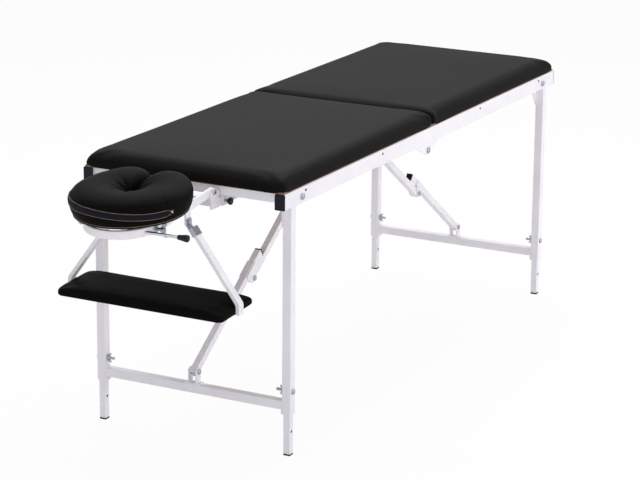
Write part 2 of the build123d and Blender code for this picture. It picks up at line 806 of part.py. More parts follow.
def clamp_stud():
    """The threaded stud through the near arm, with its head inside the stay and a washer."""
    head_face = stay_outer - stay_thickness - running_gap
    stud = round_y((-stud_out, -stud_reach, stud_z), stud_reach - head_face, stud_diameter)
    head_start = (-stud_out, -head_face, stud_z)
    washer_start = (-stud_out, -headrest_half_width - stud_washer_thickness - running_gap, stud_z)
    washer = round_y(washer_start, stud_washer_thickness, stud_washer)
    return stud + hex_y(head_start, stud_head_height, stud_head) + washer


def clamp_rod():
    """The rod across the hoop, with a collar beyond the far arm."""
    start_y = -(clamp_knob_far - clamp_knob_length)
    end_y = collar_seat + clamp_collar_length + clamp_tail
    rod = round_y((clamp_x, start_y, clamp_z), end_y - start_y, clamp_rod_diameter)
    return rod + round_y((clamp_x, collar_seat, clamp_z), clamp_collar_length, clamp_collar)


def clamp_knob():
    start = (clamp_x, -clamp_knob_far, clamp_z)
    knob = round_y(start, clamp_knob_length, clamp_knob_big, clamp_knob_small)
    return fillet_end(knob, clamp_knob_round)


def clamp_wing_nut():
    centre = (-stud_out, stud_nut_from, stud_z)
    bore = stud_diameter + 2 * bore_gap
    shape = (stud_nut_hub, stud_nut_hub_height, stud_nut_span, stud_nut_rise, bore)
    return wing_nut(centre, *shape).mirror(Plane.XZ)


def on_pad(shape):
    """Moves a piece drawn about the middle of the pad's underside onto the sloping pad."""
    return Pos(-pad_out, 0, pad_low) * Rot(0, -pad_slope, 0) * shape


def ring_outline(inset):
    """The face ring seen from above: an ellipse with a hole and a slit towards the table."""
    outer = Ellipse(pad_half_length - inset, pad_half_width - inset)
    hole = Ellipse(face_hole_length / 2 + inset / 2, face_hole_width / 2 + inset / 2)
    slit_length = pad_half_length + cut_over
    slit = Pos(slit_length / 2, 0) * Rectangle(slit_length, face_slit + inset)
    return outer - hole - slit


def face_board():
    return on_pad(extrude(ring_outline(pad_board_inset), pad_board))


def face_cushion():
    """The padded ring, rounded all over and flat where it lies on its board."""
    ring = Pos(0, 0, pad_board) * extrude(ring_outline(0.0), pad_thickness)
    top = ring.faces().sort_by(Axis.Z)[-1]
    ring = fillet(top.edges(), pad_top_round)
    low = ring.faces().sort_by(Axis.Z)[0]
    return on_pad(fillet(low.edges(), pad_low_round))


def face_lugs():
    """Two lugs under the face board that the clamp rod runs through."""
    top_z = pad_low - (clamp_out - pad_out) * math.tan(math.radians(pad_slope)) - fit_gap
    eye = Pos(clamp_x, clamp_z) * Circle(face_lug_eye)
    slope_drop = face_lug_foot / 2 * math.sin(math.radians(pad_slope))
    top_left = (clamp_x - face_lug_foot / 2, top_z - slope_drop)
    top_right = (clamp_x + face_lug_foot / 2, top_z + slope_drop)
    foot = Polygon(top_left, top_right, (clamp_x, top_z - face_lug), align=None)
    bore = Pos(clamp_x, clamp_z) * Circle(clamp_rod_diameter / 2 + bore_gap)
    lug = plate_y(hull(eye, foot) - bore, -face_lug_half_span - face_lug, face_lug)
    return both_sides(lug) + [pad_stay()]


def pad_stay():
    """A slotted plate under the face board that the stud's wing nut clamps to the near arm."""
    slope = math.tan(math.radians(pad_slope))
    left = -stud_out - stay_length / 2
    right = -stud_out + stay_length / 2
    left_top = pad_low + (left + pad_out) * slope - fit_gap
    right_top = pad_low + (right + pad_out) * slope - fit_gap
    low = stud_z - stay_below_stud
    outline = Polygon((left, low), (right, low), (right, right_top), (left, left_top), align=None)
    travel = (clamp_out - stud_out) * math.sin(math.radians(pad_swing))
    slot_width = stud_diameter + 2 * running_gap
    slot = SlotOverall(abs(travel) + slot_width, slot_width, rotation=90)
    outline -= Pos(-stud_out, stud_z - travel / 2) * slot
    return plate_y(outline, -stay_outer, stay_thickness)


def shelf_outline(inset):
    return RectangleRounded(shelf_depth - 2 * inset, shelf_length - 2 * inset, shelf_corner - inset)


def shelf_board_piece():
    return Pos(-shelf_out, 0, shelf_low) * extrude(shelf_outline(0), shelf_board)


def shelf_pad_piece():
    pad = extrude(shelf_outline(shelf_pad_inset), shelf_pad)
    top = pad.faces().sort_by(Axis.Z)[-1]
    pad = fillet(top.edges(), shelf_pad_round)
    return Pos(-shelf_out, 0, shelf_low + shelf_board) * pad


# The line of a shelf tube on the near side, from the bend of its bracket to the shelf's end
tube_offset = (bracket_plate + strap_thickness) / 2 + fit_gap
bend_z = shelf_hinge_height - bracket_bend_drop
shelf_end = shelf_length / 2 + fit_gap + strap_thickness / 2
shelf_top = shelf_low + shelf_board + shelf_pad
splay = math.atan2(shelf_end - ear_middle - tube_offset, bend_z - shelf_top)
tube_top = (-ear_middle - tube_offset * math.cos(splay), bend_z + tube_offset * math.sin(splay))


def down_tube(place, distance):
    """The place a distance further down the splayed line, in the plane across the table."""
    return (place[0] - distance * math.sin(splay), place[1] - distance * math.cos(splay))


def across_table(outline, width):
    """A plate from its outline across the table, centred on the shelf's middle."""
    plane = Plane.YZ.offset(-shelf_out - width / 2)
    return extrude(plane * outline, width)


def shelf_straps():
    """Flat tubes splayed down to the shelf's ends, each with a lip under the board."""
    start = down_tube(tube_top, strap_start)
    knee_drop = (shelf_end + start[0]) / math.tan(splay)
    knee = (-shelf_end, start[1] - knee_drop)
    path = FilletPolyline(start, knee, (-shelf_end, shelf_low), radius=strap_bend)
    tube = across_table(trace(path, strap_thickness), strap_width)
    bore = across_table(trace(path, strap_thickness - 2 * strap_wall), strap_width - 2 * strap_wall)
    lip_low = (-shelf_out - strap_width / 2, -shelf_end - strap_thickness / 2, shelf_low - strap_lip)
    lip_high = (-shelf_out + strap_width / 2, -shelf_end + strap_lip_length, shelf_low - fit_gap)
    return both_sides(tube - bore + block(lip_low, lip_high))


def shelf_brackets():
    """Bent plates that swing on the rivets, each with a sleeve round the top of a tube."""
    bend = (-ear_middle, bend_z)
    top = (-ear_middle, shelf_hinge_height + bracket_ear_rise)
    path = FilletPolyline(top, bend, down_tube(bend, bracket_length), radius=bracket_bend)
    plate = across_table(trace(path, bracket_plate), strap_width)
    corners = plate.edges().filter_by(Axis.Y).sort_by(Axis.Z)[-2:]
    plate = fillet(corners, bracket_ear_corner)
    rivet_start = (-shelf_out, -ear_middle - cut_over, shelf_hinge_height)
    plate -= round_y(rivet_start, 2 * cut_over, shelf_rivet + 2 * bore_gap)
    sleeve_start = down_tube(tube_top, strap_start)
    sleeve_end = down_tube(tube_top, bracket_length)
    line = Line(sleeve_start, sleeve_end)
    outer = across_table(trace(line, strap_thickness + 2 * bracket_sleeve_wall), bracket_sleeve)
    inner_width = strap_width + 2 * fit_gap
    inner = across_table(trace(line, strap_thickness + 2 * fit_gap), inner_width)
    return both_sides(plate + outer - inner)


# Leg pivot bolts of one half
def pivot_bolts():
    grip = rail_outer - leg_inner + pivot_plate
    length = grip + running_gap + pivot_nut_height
    bolt = domed_bolt(pivot_x, pivot_z, -rail_outer, pivot_head, pivot_head_height, pivot_bolt, length)
    nut_start = (pivot_x, -rail_outer + grip + running_gap, pivot_z)
    return both_sides(bolt + hex_y(nut_start, pivot_nut_height, pivot_nut))


def far(shape):
    return shape.mirror(Plane.XZ)


# Every node of the part, as its list of solids
half_pieces = {
    "side_rails": both_sides(side_rail()),
    "cross_rails": cross_rails(),
    "rail_caps": rail_caps(),
    "board": [board()],
    "cushion": [cushion()],
    "strut_bracket": strut_bracket(),
    "legs": both_sides(leg()),
    "crossbar": [crossbar(), strut_clevis()],
    "leg_bolts": leg_bolts(),
    "extension_near": [extension()],
    "extension_far": [far(extension())],
    "foot_near": [rubber_foot()],
    "foot_far": [far(rubber_foot())],
    "wing_nut_near": [leg_wing_nut()],
    "wing_nut_far": [far(leg_wing_nut())],
    "upper_strut": [upper_strut()],
    "lower_strut": [lower_strut()],
    "elbow_bolt": [elbow_bolt()],
    "strut_plug": [strut_plug()],
}
nodes = {}
for name, solids in half_pieces.items():
    nodes[name + "_head"] = solids
    nodes[name + "_foot"] = foot_half(solids)

nodes["hinge_plates_head"] = hinge_plates(hinge_outer)
nodes["hinge_plates_foot"] = foot_half(hinge_plates(hinge_outer - hinge_plate - running_gap))
nodes["frame_bolts_head"] = pivot_bolts() + both_sides(hinge_bolt_piece())
nodes["frame_bolts_foot"] = foot_half(pivot_bolts())
nodes["headrest_sockets"] = headrest_sockets()
nodes["headrest_bracket"] = [headrest_bracket()]
nodes["tilt_bolts"] = tilt_bolts()
nodes["socket_knob_near"] = [socket_knob()]
nodes["socket_knob_far"] = [far(socket_knob())]
nodes["hoop"] = [hoop()]
nodes["shelf_rivets"] = shelf_rivets()
nodes["clamp_stud"] = [clamp_stud()]
nodes["clamp_rod"] = [clamp_rod()]
nodes["clamp_knob"] = [clamp_knob()]
nodes["clamp_wing_nut"] = [clamp_wing_nut()]
nodes["face_board"] = [face_board()]
nodes["face_cushion"] = [face_cushion()]
nodes["face_lugs"] = face_lugs()
nodes["shelf_straps"] = shelf_straps()
nodes["shelf_brackets"] = shelf_brackets()
nodes["shelf_board"] = [shelf_board_piece()]
nodes["shelf_pad"] = [shelf_pad_piece()]

# The origin goes under the middle of the whole part
for name, pieces in nodes.items():
    nodes[name] = [solid for piece in pieces for solid in piece.solids()]
boxes = [solid.bounding_box() for solids in nodes.values() for solid in solids]
low_x = min(box.min.X for box in boxes)
high_x = max(box.max.X for box in boxes)
high_y = max(box.max.Y for box in boxes)
high_z = max(box.max.Z for box in boxes)
middle_x = (low_x + high_x) / 2
joint_points = {
    "leg_fold_head": (pivot_x, 0, pivot_z),
    "leg_fold_foot": (table_length - pivot_x, 0, pivot_z),
    "table_fold": (table_length / 2, 0, hinge_z),
    "brace_top_head": (top_pin_x, 0, top_pin_z),
    "brace_top_foot": (table_length - top_pin_x, 0, top_pin_z),
    "elbow_head": (elbow_x, 0, elbow_z),
    "elbow_foot": (table_length - elbow_x, 0, elbow_z),
    "lock_head": (leg_centre, leg_middle, lock_height),
    "lock_foot": (table_length - leg_centre, leg_middle, lock_height),
    "tilt": (tilt_x, 0, tilt_height),
    "clamp": (clamp_x, 0, clamp_z),
    "stud": (-stud_out, -stud_nut_from, stud_z),
    "knob": (knob_from_end, post_middle, post_z),
    "shelf": (-shelf_out, 0, shelf_hinge_height),
}
joint_points = {key: (x - middle_x, y, z) for key, (x, y, z) in joint_points.items()}

if __name__ == "__main__":
    for name, solids in nodes.items():
        moved = [Pos(-middle_x, 0, 0) * solid for solid in solids]
        shape = moved[0] if len(moved) == 1 else Compound(children=moved)
        export_step(shape, f"parts/{name}.step")
    print("nodes", len(nodes), "middle x", round(middle_x, 3))
    print("size", [round(value, 2) for value in (high_x - low_x, 2 * high_y, high_z)])
    print("brace swing", round(brace_swing, 3), "lengths", round(lower_length, 2), round(upper_length, 2))
    for key, point in joint_points.items():
        print(key, [round(value, 3) for value in point])
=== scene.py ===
"""A folding treatment table with a face ring and an arm shelf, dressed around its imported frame."""

import bmesh
import bpy
import json
import logging
import math
from collections.abc import Callable, Sequence
from dataclasses import dataclass
from enum import Enum
from mathutils import Matrix, Vector
from mathutils.bvhtree import BVHTree
from operator import mul


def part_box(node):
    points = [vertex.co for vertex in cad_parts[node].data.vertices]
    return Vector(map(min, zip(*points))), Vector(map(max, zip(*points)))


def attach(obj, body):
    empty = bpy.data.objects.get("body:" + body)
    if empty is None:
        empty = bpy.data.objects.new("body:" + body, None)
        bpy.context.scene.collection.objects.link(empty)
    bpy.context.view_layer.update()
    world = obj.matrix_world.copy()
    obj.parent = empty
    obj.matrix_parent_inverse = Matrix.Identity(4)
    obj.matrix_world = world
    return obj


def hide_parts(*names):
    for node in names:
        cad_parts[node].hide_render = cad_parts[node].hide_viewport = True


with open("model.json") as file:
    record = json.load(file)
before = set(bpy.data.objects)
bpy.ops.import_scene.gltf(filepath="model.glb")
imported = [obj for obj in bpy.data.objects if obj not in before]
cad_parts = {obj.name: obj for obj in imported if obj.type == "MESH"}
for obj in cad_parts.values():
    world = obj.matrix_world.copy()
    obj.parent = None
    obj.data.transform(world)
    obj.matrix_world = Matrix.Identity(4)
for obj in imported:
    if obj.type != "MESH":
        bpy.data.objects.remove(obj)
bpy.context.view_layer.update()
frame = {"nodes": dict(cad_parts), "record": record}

log = logging.getLogger("treatment_table")

Piece = bpy.types.Object
Shell = bmesh.types.BMesh
Material = bpy.types.Material
Tree = bpy.types.NodeTree
Socket = bpy.types.NodeSocket
Outline = tuple[tuple[float, float], ...]
Block = tuple[tuple[float, float, float], tuple[float, float, float]]

MM = 0.001
FULL_TURN = 2.0 * math.pi
QUARTER_TURN = math.pi / 2.0
ORIGIN = (0.0, 0.0, 0.0)
SAME_PLACE = 1e-5
HEAD_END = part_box("rail_caps_head")[0].x
# Half sections of the turned knobs, as radius and distance from the inner end
CLAMP_KNOB = (
    (4.0, 0.0), (6.1, 0.0), (6.4, 0.4), (6.6, 3.0), (7.2, 9.0), (8.4, 17.0),
    (9.5, 23.0), (9.75, 26.0), (9.3, 29.0), (7.6, 30.6), (4.0, 31.0), (0.0, 31.0),
)
SOCKET_KNOB = (
    (4.0, 0.0), (6.4, 0.0), (6.8, 0.4), (7.0, 2.6), (9.2, 4.0), (10.1, 5.2),
    (10.25, 8.0), (10.1, 10.4), (9.2, 11.6), (6.0, 12.0), (0.0, 12.0),
)


class Side(Enum):
    """The side of the table that a piece is on, as its word in the nodes' names."""

    NEAR = "near"
    FAR = "far"

    @property
    def way(self) -> int:
        """Gives the sign of Y on this side."""
        return -1 if self is Side.NEAR else 1


class End(Enum):
    """The end of the table that a piece is at, as its word in the nodes' names."""

    HEAD = "head"
    FOOT = "foot"

    @property
    def way(self) -> int:
        """Gives the sign of X from this end inwards."""
        return 1 if self is End.HEAD else -1


def linear(hex_colour: str) -> tuple[float, float, float, float]:
    """Turns an sRGB hex colour into linear red, green, blue and alpha.

    Args:
        hex_colour: six hex digits.

    Returns:
        The four linear channels.
    """
    channels = [int(hex_colour[start:start + 2], 16) / 255 for start in (0, 2, 4)]
    curved = [c / 12.92 if c <= 0.04045 else ((c + 0.055) / 1.055) ** 2.4 for c in channels]
    return (*curved, 1.0)


def per_metre(size: float) -> float:
    """Gives the texture scale whose features are about size millimetres apart."""
    return 1.0 / (size * MM)


def add_node(tree: Tree, kind: str, inputs: dict | None = None, **settings) -> bpy.types.Node:
    """Adds one shader node with its settings, values and links.

    Args:
        tree: the node tree of a material or world.
        kind: the node's type.
        inputs: for an input socket, by name or number, a value or the output socket to link.
        settings: the node's own properties.

    Returns:
        The new node.
    """
    node = tree.nodes.new(kind)
    for name, value in settings.items():
        setattr(node, name, value)
    for socket, value in (inputs or {}).items():
        if isinstance(value, Socket):
            tree.links.new(value, node.inputs[socket])
        else:
            node.inputs[socket].default_value = value
    return node


@dataclass(frozen=True)
class Pattern:
    """A fine noise on a finish, and what it does there. Sizes are in millimetres.

    The tone is the colour at its high end, the gloss what its low and high ends add to the
    roughness, and the relief its depth. A later relief lies on an earlier one. The ends are
    the values that count as low and high.
    """

    size: float
    detail: float = 2.0
    harshness: float = 0.5
    tone: str = ""
    gloss: tuple[float, float] | None = None
    relief: float = 0.0
    ends: tuple[float, float] = (0.3, 0.7)

    def texture(self, tree: Tree, place: Socket) -> Socket:
        """Adds the pattern's texture.

        Args:
            tree: the material's nodes.
            place: the coordinates that it follows, in metres.

        Returns:
            The socket of its value.
        """
        values = {"Vector": place, "Scale": per_metre(self.size), "Detail": self.detail}
        values["Roughness"] = self.harshness
        return add_node(tree, "ShaderNodeTexNoise", values).outputs["Fac"]


@dataclass(frozen=True)
class EmbossedCells(Pattern):
    """The rounded cells of an embossed grain."""

    def texture(self, tree: Tree, place: Socket) -> Socket:
        """Adds the cells."""
        values = {"Vector": place, "Scale": per_metre(self.size)}
        cells = add_node(tree, "ShaderNodeTexVoronoi", values, feature="SMOOTH_F1")
        return cells.outputs["Distance"]


@dataclass(frozen=True)
class Ribs(Pattern):
    """Ribs side by side, such as a weave's or plywood's."""

    waver: float = 0.4
    way: str = "DIAGONAL"
    ends: tuple[float, float] = (0.0, 1.0)
    spacing_share: float = 6.0

    def texture(self, tree: Tree, place: Socket) -> Socket:
        """Adds the ribs."""
        scale = per_metre(self.size) / self.spacing_share
        values = {"Vector": place, "Scale": scale, "Distortion": self.waver}
        return add_node(tree, "ShaderNodeTexWave", values, bands_direction=self.way).outputs["Fac"]


@dataclass(frozen=True)
class BoardGrain(Pattern):
    """Wood grain, drawn out along the board."""

    stretch: tuple[float, float, float] = (0.08, 1.0, 1.0)

    def texture(self, tree: Tree, place: Socket) -> Socket:
        """Adds the grain."""
        drawn = add_node(tree, "ShaderNodeMapping", {"Vector": place, "Scale": self.stretch})
        return super().texture(tree, drawn.outputs["Vector"])


@dataclass(frozen=True)
class GrainedPlies(BoardGrain):
    """Dark and light plies up a board's edge, broken by the grain."""

    plies: Ribs = Ribs(1.7, waver=1.0, way="Z")

    def texture(self, tree: Tree, place: Socket) -> Socket:
        """Adds the plies and the grain."""
        values = {0: self.plies.texture(tree, place), 1: super().texture(tree, place)}
        return add_node(tree, "ShaderNodeMath", values, operation="MULTIPLY").outputs[0]


@dataclass(frozen=True)
class Finish:
    """A surface finish, which builds one material."""

    name: str
    colour: str
    roughness: float
    patterns: tuple[Pattern, ...]
    metallic: float = 0.0
    specular: float = 0.5
    sheen: float = 0.0
    sheen_roughness: float = 0.4
    coordinates: str = "Object"

    def build(self) -> Material:
        """Builds the material.

        Returns:
            The finished material.
        """
        material = bpy.data.materials.new(self.name)
        material.use_nodes = True
        material.diffuse_color = linear(self.colour)
        tree = material.node_tree
        shader = tree.nodes["Principled BSDF"]
        values = {
            "Base Color": linear(self.colour),
            "Roughness": self.roughness,
            "Metallic": self.metallic,
            "Specular IOR Level": self.specular,
            "Sheen Weight": self.sheen,
            "Sheen Roughness": self.sheen_roughness,
        }
        for socket, value in values.items():
            shader.inputs[socket].default_value = value
        place = add_node(tree, "ShaderNodeTexCoord").outputs[self.coordinates]
        for pattern in self.patterns:
            self.lay(pattern, pattern.texture(tree, place), tree, shader)
        return material

    def lay(self, pattern: Pattern, value: Socket, tree: Tree, shader: bpy.types.Node) -> None:
        """Lets one pattern change the tone, the gloss and the relief.

        Args:
            pattern: the pattern.
            value: the socket of its value.
            tree: the material's nodes.
            shader: its surface shader.
        """
        limits = {"Value": value, "From Min": pattern.ends[0], "From Max": pattern.ends[1]}
        if pattern.tone:
            share = add_node(tree, "ShaderNodeMapRange", limits).outputs["Result"]
            colours = {0: share, 6: linear(self.colour), 7: linear(pattern.tone)}
            mix = add_node(tree, "ShaderNodeMix", colours, data_type="RGBA")
            tree.links.new(mix.outputs[2], shader.inputs["Base Color"])
        if pattern.gloss:
            low, high = (self.roughness + step for step in pattern.gloss)
            limits.update({"To Min": low, "To Max": high})
            gloss = add_node(tree, "ShaderNodeMapRange", limits)
            tree.links.new(gloss.outputs["Result"], shader.inputs["Roughness"])
        if pattern.relief:
            bump = {"Height": value, "Distance": pattern.relief * MM, "Strength": 1.0}
            if shader.inputs["Normal"].is_linked:
                bump["Normal"] = shader.inputs["Normal"].links[0].from_socket
            normal = add_node(tree, "ShaderNodeBump", bump).outputs["Normal"]
            tree.links.new(normal, shader.inputs["Normal"])


@dataclass(frozen=True)
class PowderCoat(Finish):
    """Polyester powder coat baked on steel tube: satin white with a faint orange peel."""

    name: str = "powder_coated_steel"
    colour: str = "F5F3F6"
    roughness: float = 0.42
    patterns: tuple[Pattern, ...] = (
        Pattern(90.0, detail=1.0, tone="EFECF2", gloss=(-0.03, 0.04)),
        Pattern(3.0, relief=0.02),
    )


@dataclass(frozen=True)
class ZincPlate(Finish):
    """Bright zinc plate with a blue passivation: cold and faintly straw clouds, tumbled marks."""

    name: str = "zinc_plated_steel"
    colour: str = "9AA6BA"
    roughness: float = 0.3
    patterns: tuple[Pattern, ...] = (
        Pattern(7.0, detail=4.0, tone="A8A8A6"),
        Pattern(0.8, gloss=(-0.06, 0.1), relief=0.015),
    )
    metallic: float = 1.0


@dataclass(frozen=True)
class BrightRod(Finish):
    """Bright drawn steel rod: polished, with faint marks from the die."""

    name: str = "bright_steel_rod"
    colour: str = "C9CBD0"
    roughness: float = 0.16
    patterns: tuple[Pattern, ...] = (Pattern(1.5, gloss=(0.0, 0.1)),)
    metallic: float = 1.0


@dataclass(frozen=True)
class MouldedPlastic(Finish):
    """Injection-moulded polyethylene: blue-black with a fine spark-eroded grain."""

    name: str = "moulded_polyethylene"
    colour: str = "0C121B"
    roughness: float = 0.4
    patterns: tuple[Pattern, ...] = (
        Pattern(0.9, relief=0.03),
        Pattern(14.0, gloss=(-0.06, 0.08)),
    )
    specular: float = 0.2


@dataclass(frozen=True)
class Leatherette(Finish):
    """Polyurethane leatherette: a dull mottled nap, and a calf grain drawn coarser than real."""

    name: str = "polyurethane_leatherette"
    colour: str = "0B0B0B"
    roughness: float = 0.62
    patterns: tuple[Pattern, ...] = (
        Pattern(11.0, detail=6.0, harshness=0.62, tone="101010", gloss=(-0.02, 0.02)),
        Pattern(9.0, detail=4.0, relief=0.15),
        EmbossedCells(2.4, relief=0.09),
    )
    specular: float = 0.05
    sheen: float = 0.012


@dataclass(frozen=True)
class ShadedLeatherette(Leatherette):
    """A darker copy of the same leatherette, with less specular and no sheen: painted shade on the
    face ring, its board and the arm shelf, which stand darker than the top cushions.
    """

    name: str = "shaded_leatherette"
    colour: str = "080808"
    patterns: tuple[Pattern, ...] = (
        Pattern(11.0, detail=6.0, harshness=0.62, tone="0A0A0A", gloss=(-0.02, 0.02)),
        *Leatherette.patterns[1:],
    )
    specular: float = 0.03
    sheen: float = 0.0


@dataclass(frozen=True)
class BirchPly(Finish):
    """Sanded birch plywood: pale faces and an edge of dark and light plies."""

    name: str = "birch_plywood"
    colour: str = "8C7358"
    roughness: float = 0.7
    patterns: tuple[Pattern, ...] = (
        GrainedPlies(3.0, detail=5.0, tone="6E5138", ends=(0.0, 1.0)),
        BoardGrain(3.0, detail=5.0, relief=0.05),
    )


@dataclass(frozen=True)
class MouldedRubber(Finish):
    """Black rubber: matt, with a fine grain and a little floor dust."""

    name: str = "moulded_rubber"
    colour: str = "16161A"
    roughness: float = 0.75
    patterns: tuple[Pattern, ...] = (Pattern(4.0, detail=5.0, tone="26262A", relief=0.08),)


@dataclass(frozen=True)
class WovenTape(Finish):
    """Nylon zip tape: a close twill, dark navy, that follows the tape's own map."""

    name: str = "woven_zip_tape"
    colour: str = "090E16"
    roughness: float = 0.7
    patterns: tuple[Pattern, ...] = (Ribs(1.4, tone="121A26", relief=0.12),)
    specular: float = 0.1
    coordinates: str = "UV"


@dataclass(frozen=True)
class Thread(Finish):
    """Bonded polyester sewing thread, tan, with the twist of its plies."""

    name: str = "bonded_tan_thread"
    colour: str = "8F7152"
    roughness: float = 0.6
    patterns: tuple[Pattern, ...] = (Pattern(0.9, tone="6B5038"),)


class Workshop:
    """Builds each material once and puts finished meshes in their places."""

    def __init__(self) -> None:
        """Prepares every finish of the table, those of the record under their slots."""
        self.slots = {
            "white_steel": PowderCoat().build(),
            "zinc": ZincPlate().build(),
            "navy_plastic": MouldedPlastic().build(),
            "leatherette": Leatherette().build(),
            "plywood": BirchPly().build(),
            "rubber": MouldedRubber().build(),
            "chrome": BrightRod().build(),
        }
        # A darker copy of the leatherette: painted shade for the face ring, its board and the arm
        # shelf
        self.shaded_hide = ShadedLeatherette().build()
        self.tape = WovenTape().build()
        self.thread = Thread().build()

    def place(
        self, mesh: Shell, name: str, body: str, slot: str, replaced: Sequence[str] = (),
        smooth: bool = True,
    ) -> Piece:
        """Turns a finished mesh into a piece that rides on its body.

        Args:
            mesh: the finished mesh, in metres and in its place. It is freed.
            name: the piece's name.
            body: the body that it moves with.
            slot: the record's material slot.
            replaced: the frame's nodes that it stands for.
            smooth: whether its faces are shaded smooth.

        Returns:
            The new piece.
        """
        piece = loose_piece(mesh, name)
        for polygon in piece.data.polygons:
            polygon.use_smooth = smooth
        return self.settle(piece, body, slot, replaced)

    def settle(
        self, piece: Piece, body: str, slot: str, replaced: Sequence[str] = (),
        material: Material | None = None,
    ) -> Piece:
        """Gives a piece its finish, by default its record slot's, and its body.

        Args:
            piece: the piece, at the origin, with its place in its mesh.
            body: the body that it moves with.
            slot: the record's material slot.
            replaced: the frame's nodes that it stands for.
            material: its finish, where that isn't the slot's own.

        Returns:
            The same piece.
        """
        self.coat(piece, material or self.slots[slot])
        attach(piece, body)
        if replaced:
            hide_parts(*replaced)
        log.info("%s rides on %s, %d faces", piece.name, body, len(piece.data.polygons))
        return piece

    def coat(self, piece: Piece, material: Material) -> None:
        """Gives a piece one material."""
        piece.data.materials.clear()
        piece.data.materials.append(material)

    def dress_nodes(self) -> None:
        """Gives every node of the frame the material of its record slot."""
        for part in frame["record"]["subparts"]:
            self.coat(frame["nodes"][part["node"]], self.slots[part["material_slot"]])


def loose_piece(mesh: Shell, name: str) -> Piece:
    """Makes a mesh an object that has yet to be finished, with its faces turned outwards.

    Args:
        mesh: the mesh, which is freed.
        name: the piece's name.

    Returns:
        The object.
    """
    bmesh.ops.recalc_face_normals(mesh, faces=mesh.faces[:])
    data = bpy.data.meshes.new(name)
    mesh.to_mesh(data)
    mesh.free()
    piece = bpy.data.objects.new(name, data)
    bpy.context.scene.collection.objects.link(piece)
    return piece


def draw(mesh: Shell, points: Sequence[Sequence[float]], closed: bool = True) -> list:
    """Draws a line through points.

    Args:
        mesh: the mesh, which gets the line.
        points: the points, in metres.
        closed: whether the last point is joined to the first.

    Returns:
        The line's vertices, then its edges.
    """
    corners = [mesh.verts.new(point) for point in points]
    following = corners[1:] + corners[:1] if closed else corners[1:]
    return corners + [mesh.edges.new(pair) for pair in zip(corners, following)]


def round_off(mesh: Shell, edges: Sequence[bmesh.types.BMEdge], radius: float) -> None:
    """Rounds edges off by a radius in millimetres.

    Args:
        mesh: the mesh, which is changed.
        edges: the edges.
        radius: the width of the rounding.
    """
    bmesh.ops.bevel(
        mesh, geom=edges, offset=radius * MM, offset_type="OFFSET", affect="EDGES",
        segments=2, profile=0.5, material=-1,
    )


def keep_result(piece: Piece) -> None:
    """Replaces a piece's mesh by what its modifiers make of it, and removes them.

    Args:
        piece: the piece, which is changed.
    """
    bpy.context.view_layer.update()
    graph = bpy.context.evaluated_depsgraph_get()
    result = bpy.data.meshes.new_from_object(piece.evaluated_get(graph))
    piece.modifiers.clear()
    before = piece.data
    piece.data = result
    bpy.data.meshes.remove(before)
    for polygon in result.polygons:
        polygon.use_smooth = True


def inflate(
    piece: Piece, cell: float, pressure: float, frames: int, cap: float,
    pinned: Callable[[Vector], bool],
) -> None:
    """Turns a closed form into a stuffed one: its cover is remeshed, blown up and kept in bounds.

    Args:
        piece: the closed form, which is changed.
        cell: the cover's mesh size in millimetres.
        pressure: the push of the filling.
        frames: how long the cover is let swell.
        cap: how far a point of the cover may move, in millimetres.
        pinned: tells whether a point is held, as where the cover is stapled to its board.
    """
    remesh = piece.modifiers.new("remesh", "REMESH")
    remesh.mode = "VOXEL"
    remesh.voxel_size = cell * MM
    remesh.use_smooth_shade = True
    keep_result(piece)
    start = [vertex.co.copy() for vertex in piece.data.vertices]
    held = piece.vertex_groups.new(name="held")
    held.add([vertex.index for vertex in piece.data.vertices if pinned(vertex.co)], 1.0, "REPLACE")
    cloth = piece.modifiers.new("cover", "CLOTH")
    cloth.settings.use_pressure = True
    cloth.settings.uniform_pressure_force = pressure
    cloth.settings.vertex_group_mass = held.name
    cloth.settings.effector_weights.gravity = 0.0
    cloth.point_cache.frame_start = 1
    cloth.point_cache.frame_end = frames
    scene = bpy.context.scene
    for step in range(1, frames + 1):
        scene.frame_set(step)
    keep_result(piece)
    scene.frame_set(1)
    for vertex, before in zip(piece.data.vertices, start):
        moved = vertex.co - before
        if moved.length > cap * MM:
            vertex.co = before + moved * (cap * MM / moved.length)
    piece.vertex_groups.clear()


def cut_flat(piece: Piece, height: float) -> None:
    """Cuts a stuffed form off flat where its board is, so that its lower edge is crisp.

    Args:
        piece: the form, which is changed.
        height: the height of the cut.
    """
    mesh = bmesh.new()
    mesh.from_mesh(piece.data)
    everything = mesh.verts[:] + mesh.edges[:] + mesh.faces[:]
    level = {"plane_co": (0.0, 0.0, height), "plane_no": (0.0, 0.0, 1.0)}
    bmesh.ops.bisect_plane(mesh, geom=everything, clear_inner=True, **level)
    rim = [edge for edge in mesh.edges if edge.is_boundary]
    for face in bmesh.ops.edgeloop_fill(mesh, edges=rim)["faces"]:
        face.smooth = False
        bmesh.ops.triangulate(mesh, faces=[face])
    for edge in rim:
        edge.smooth = False
    bmesh.ops.recalc_face_normals(mesh, faces=mesh.faces[:])
    mesh.to_mesh(piece.data)
    mesh.free()


def soften(piece: Piece) -> None:
    """Adds one last subdivision to a piece."""
    finish = piece.modifiers.new("soften", "SUBSURF")
    finish.levels = finish.render_levels = 1


def body_of(node: str) -> str:
    """Finds the body that a node of the frame rides on.

    Args:
        node: the node's name.

    Returns:
        The body's name.
    """
    bodies = frame["record"]["behaviour"]["bodies"]
    return next(body for body, nodes in bodies.items() if node in nodes)


@dataclass(frozen=True)
class PadForm:
    """How a pad is stuffed: flat below, with a lip, rounded edges and a crowned top.

    Sizes are in millimetres. The second lip and rounding are those of the pad's second end.
    """

    lip: float
    second_lip: float
    start_round: float
    second_round: float
    side_round: float
    crown: float
    corner: float
    bulge: float
    lip_share: float = 0.25
    cuts: int = 30


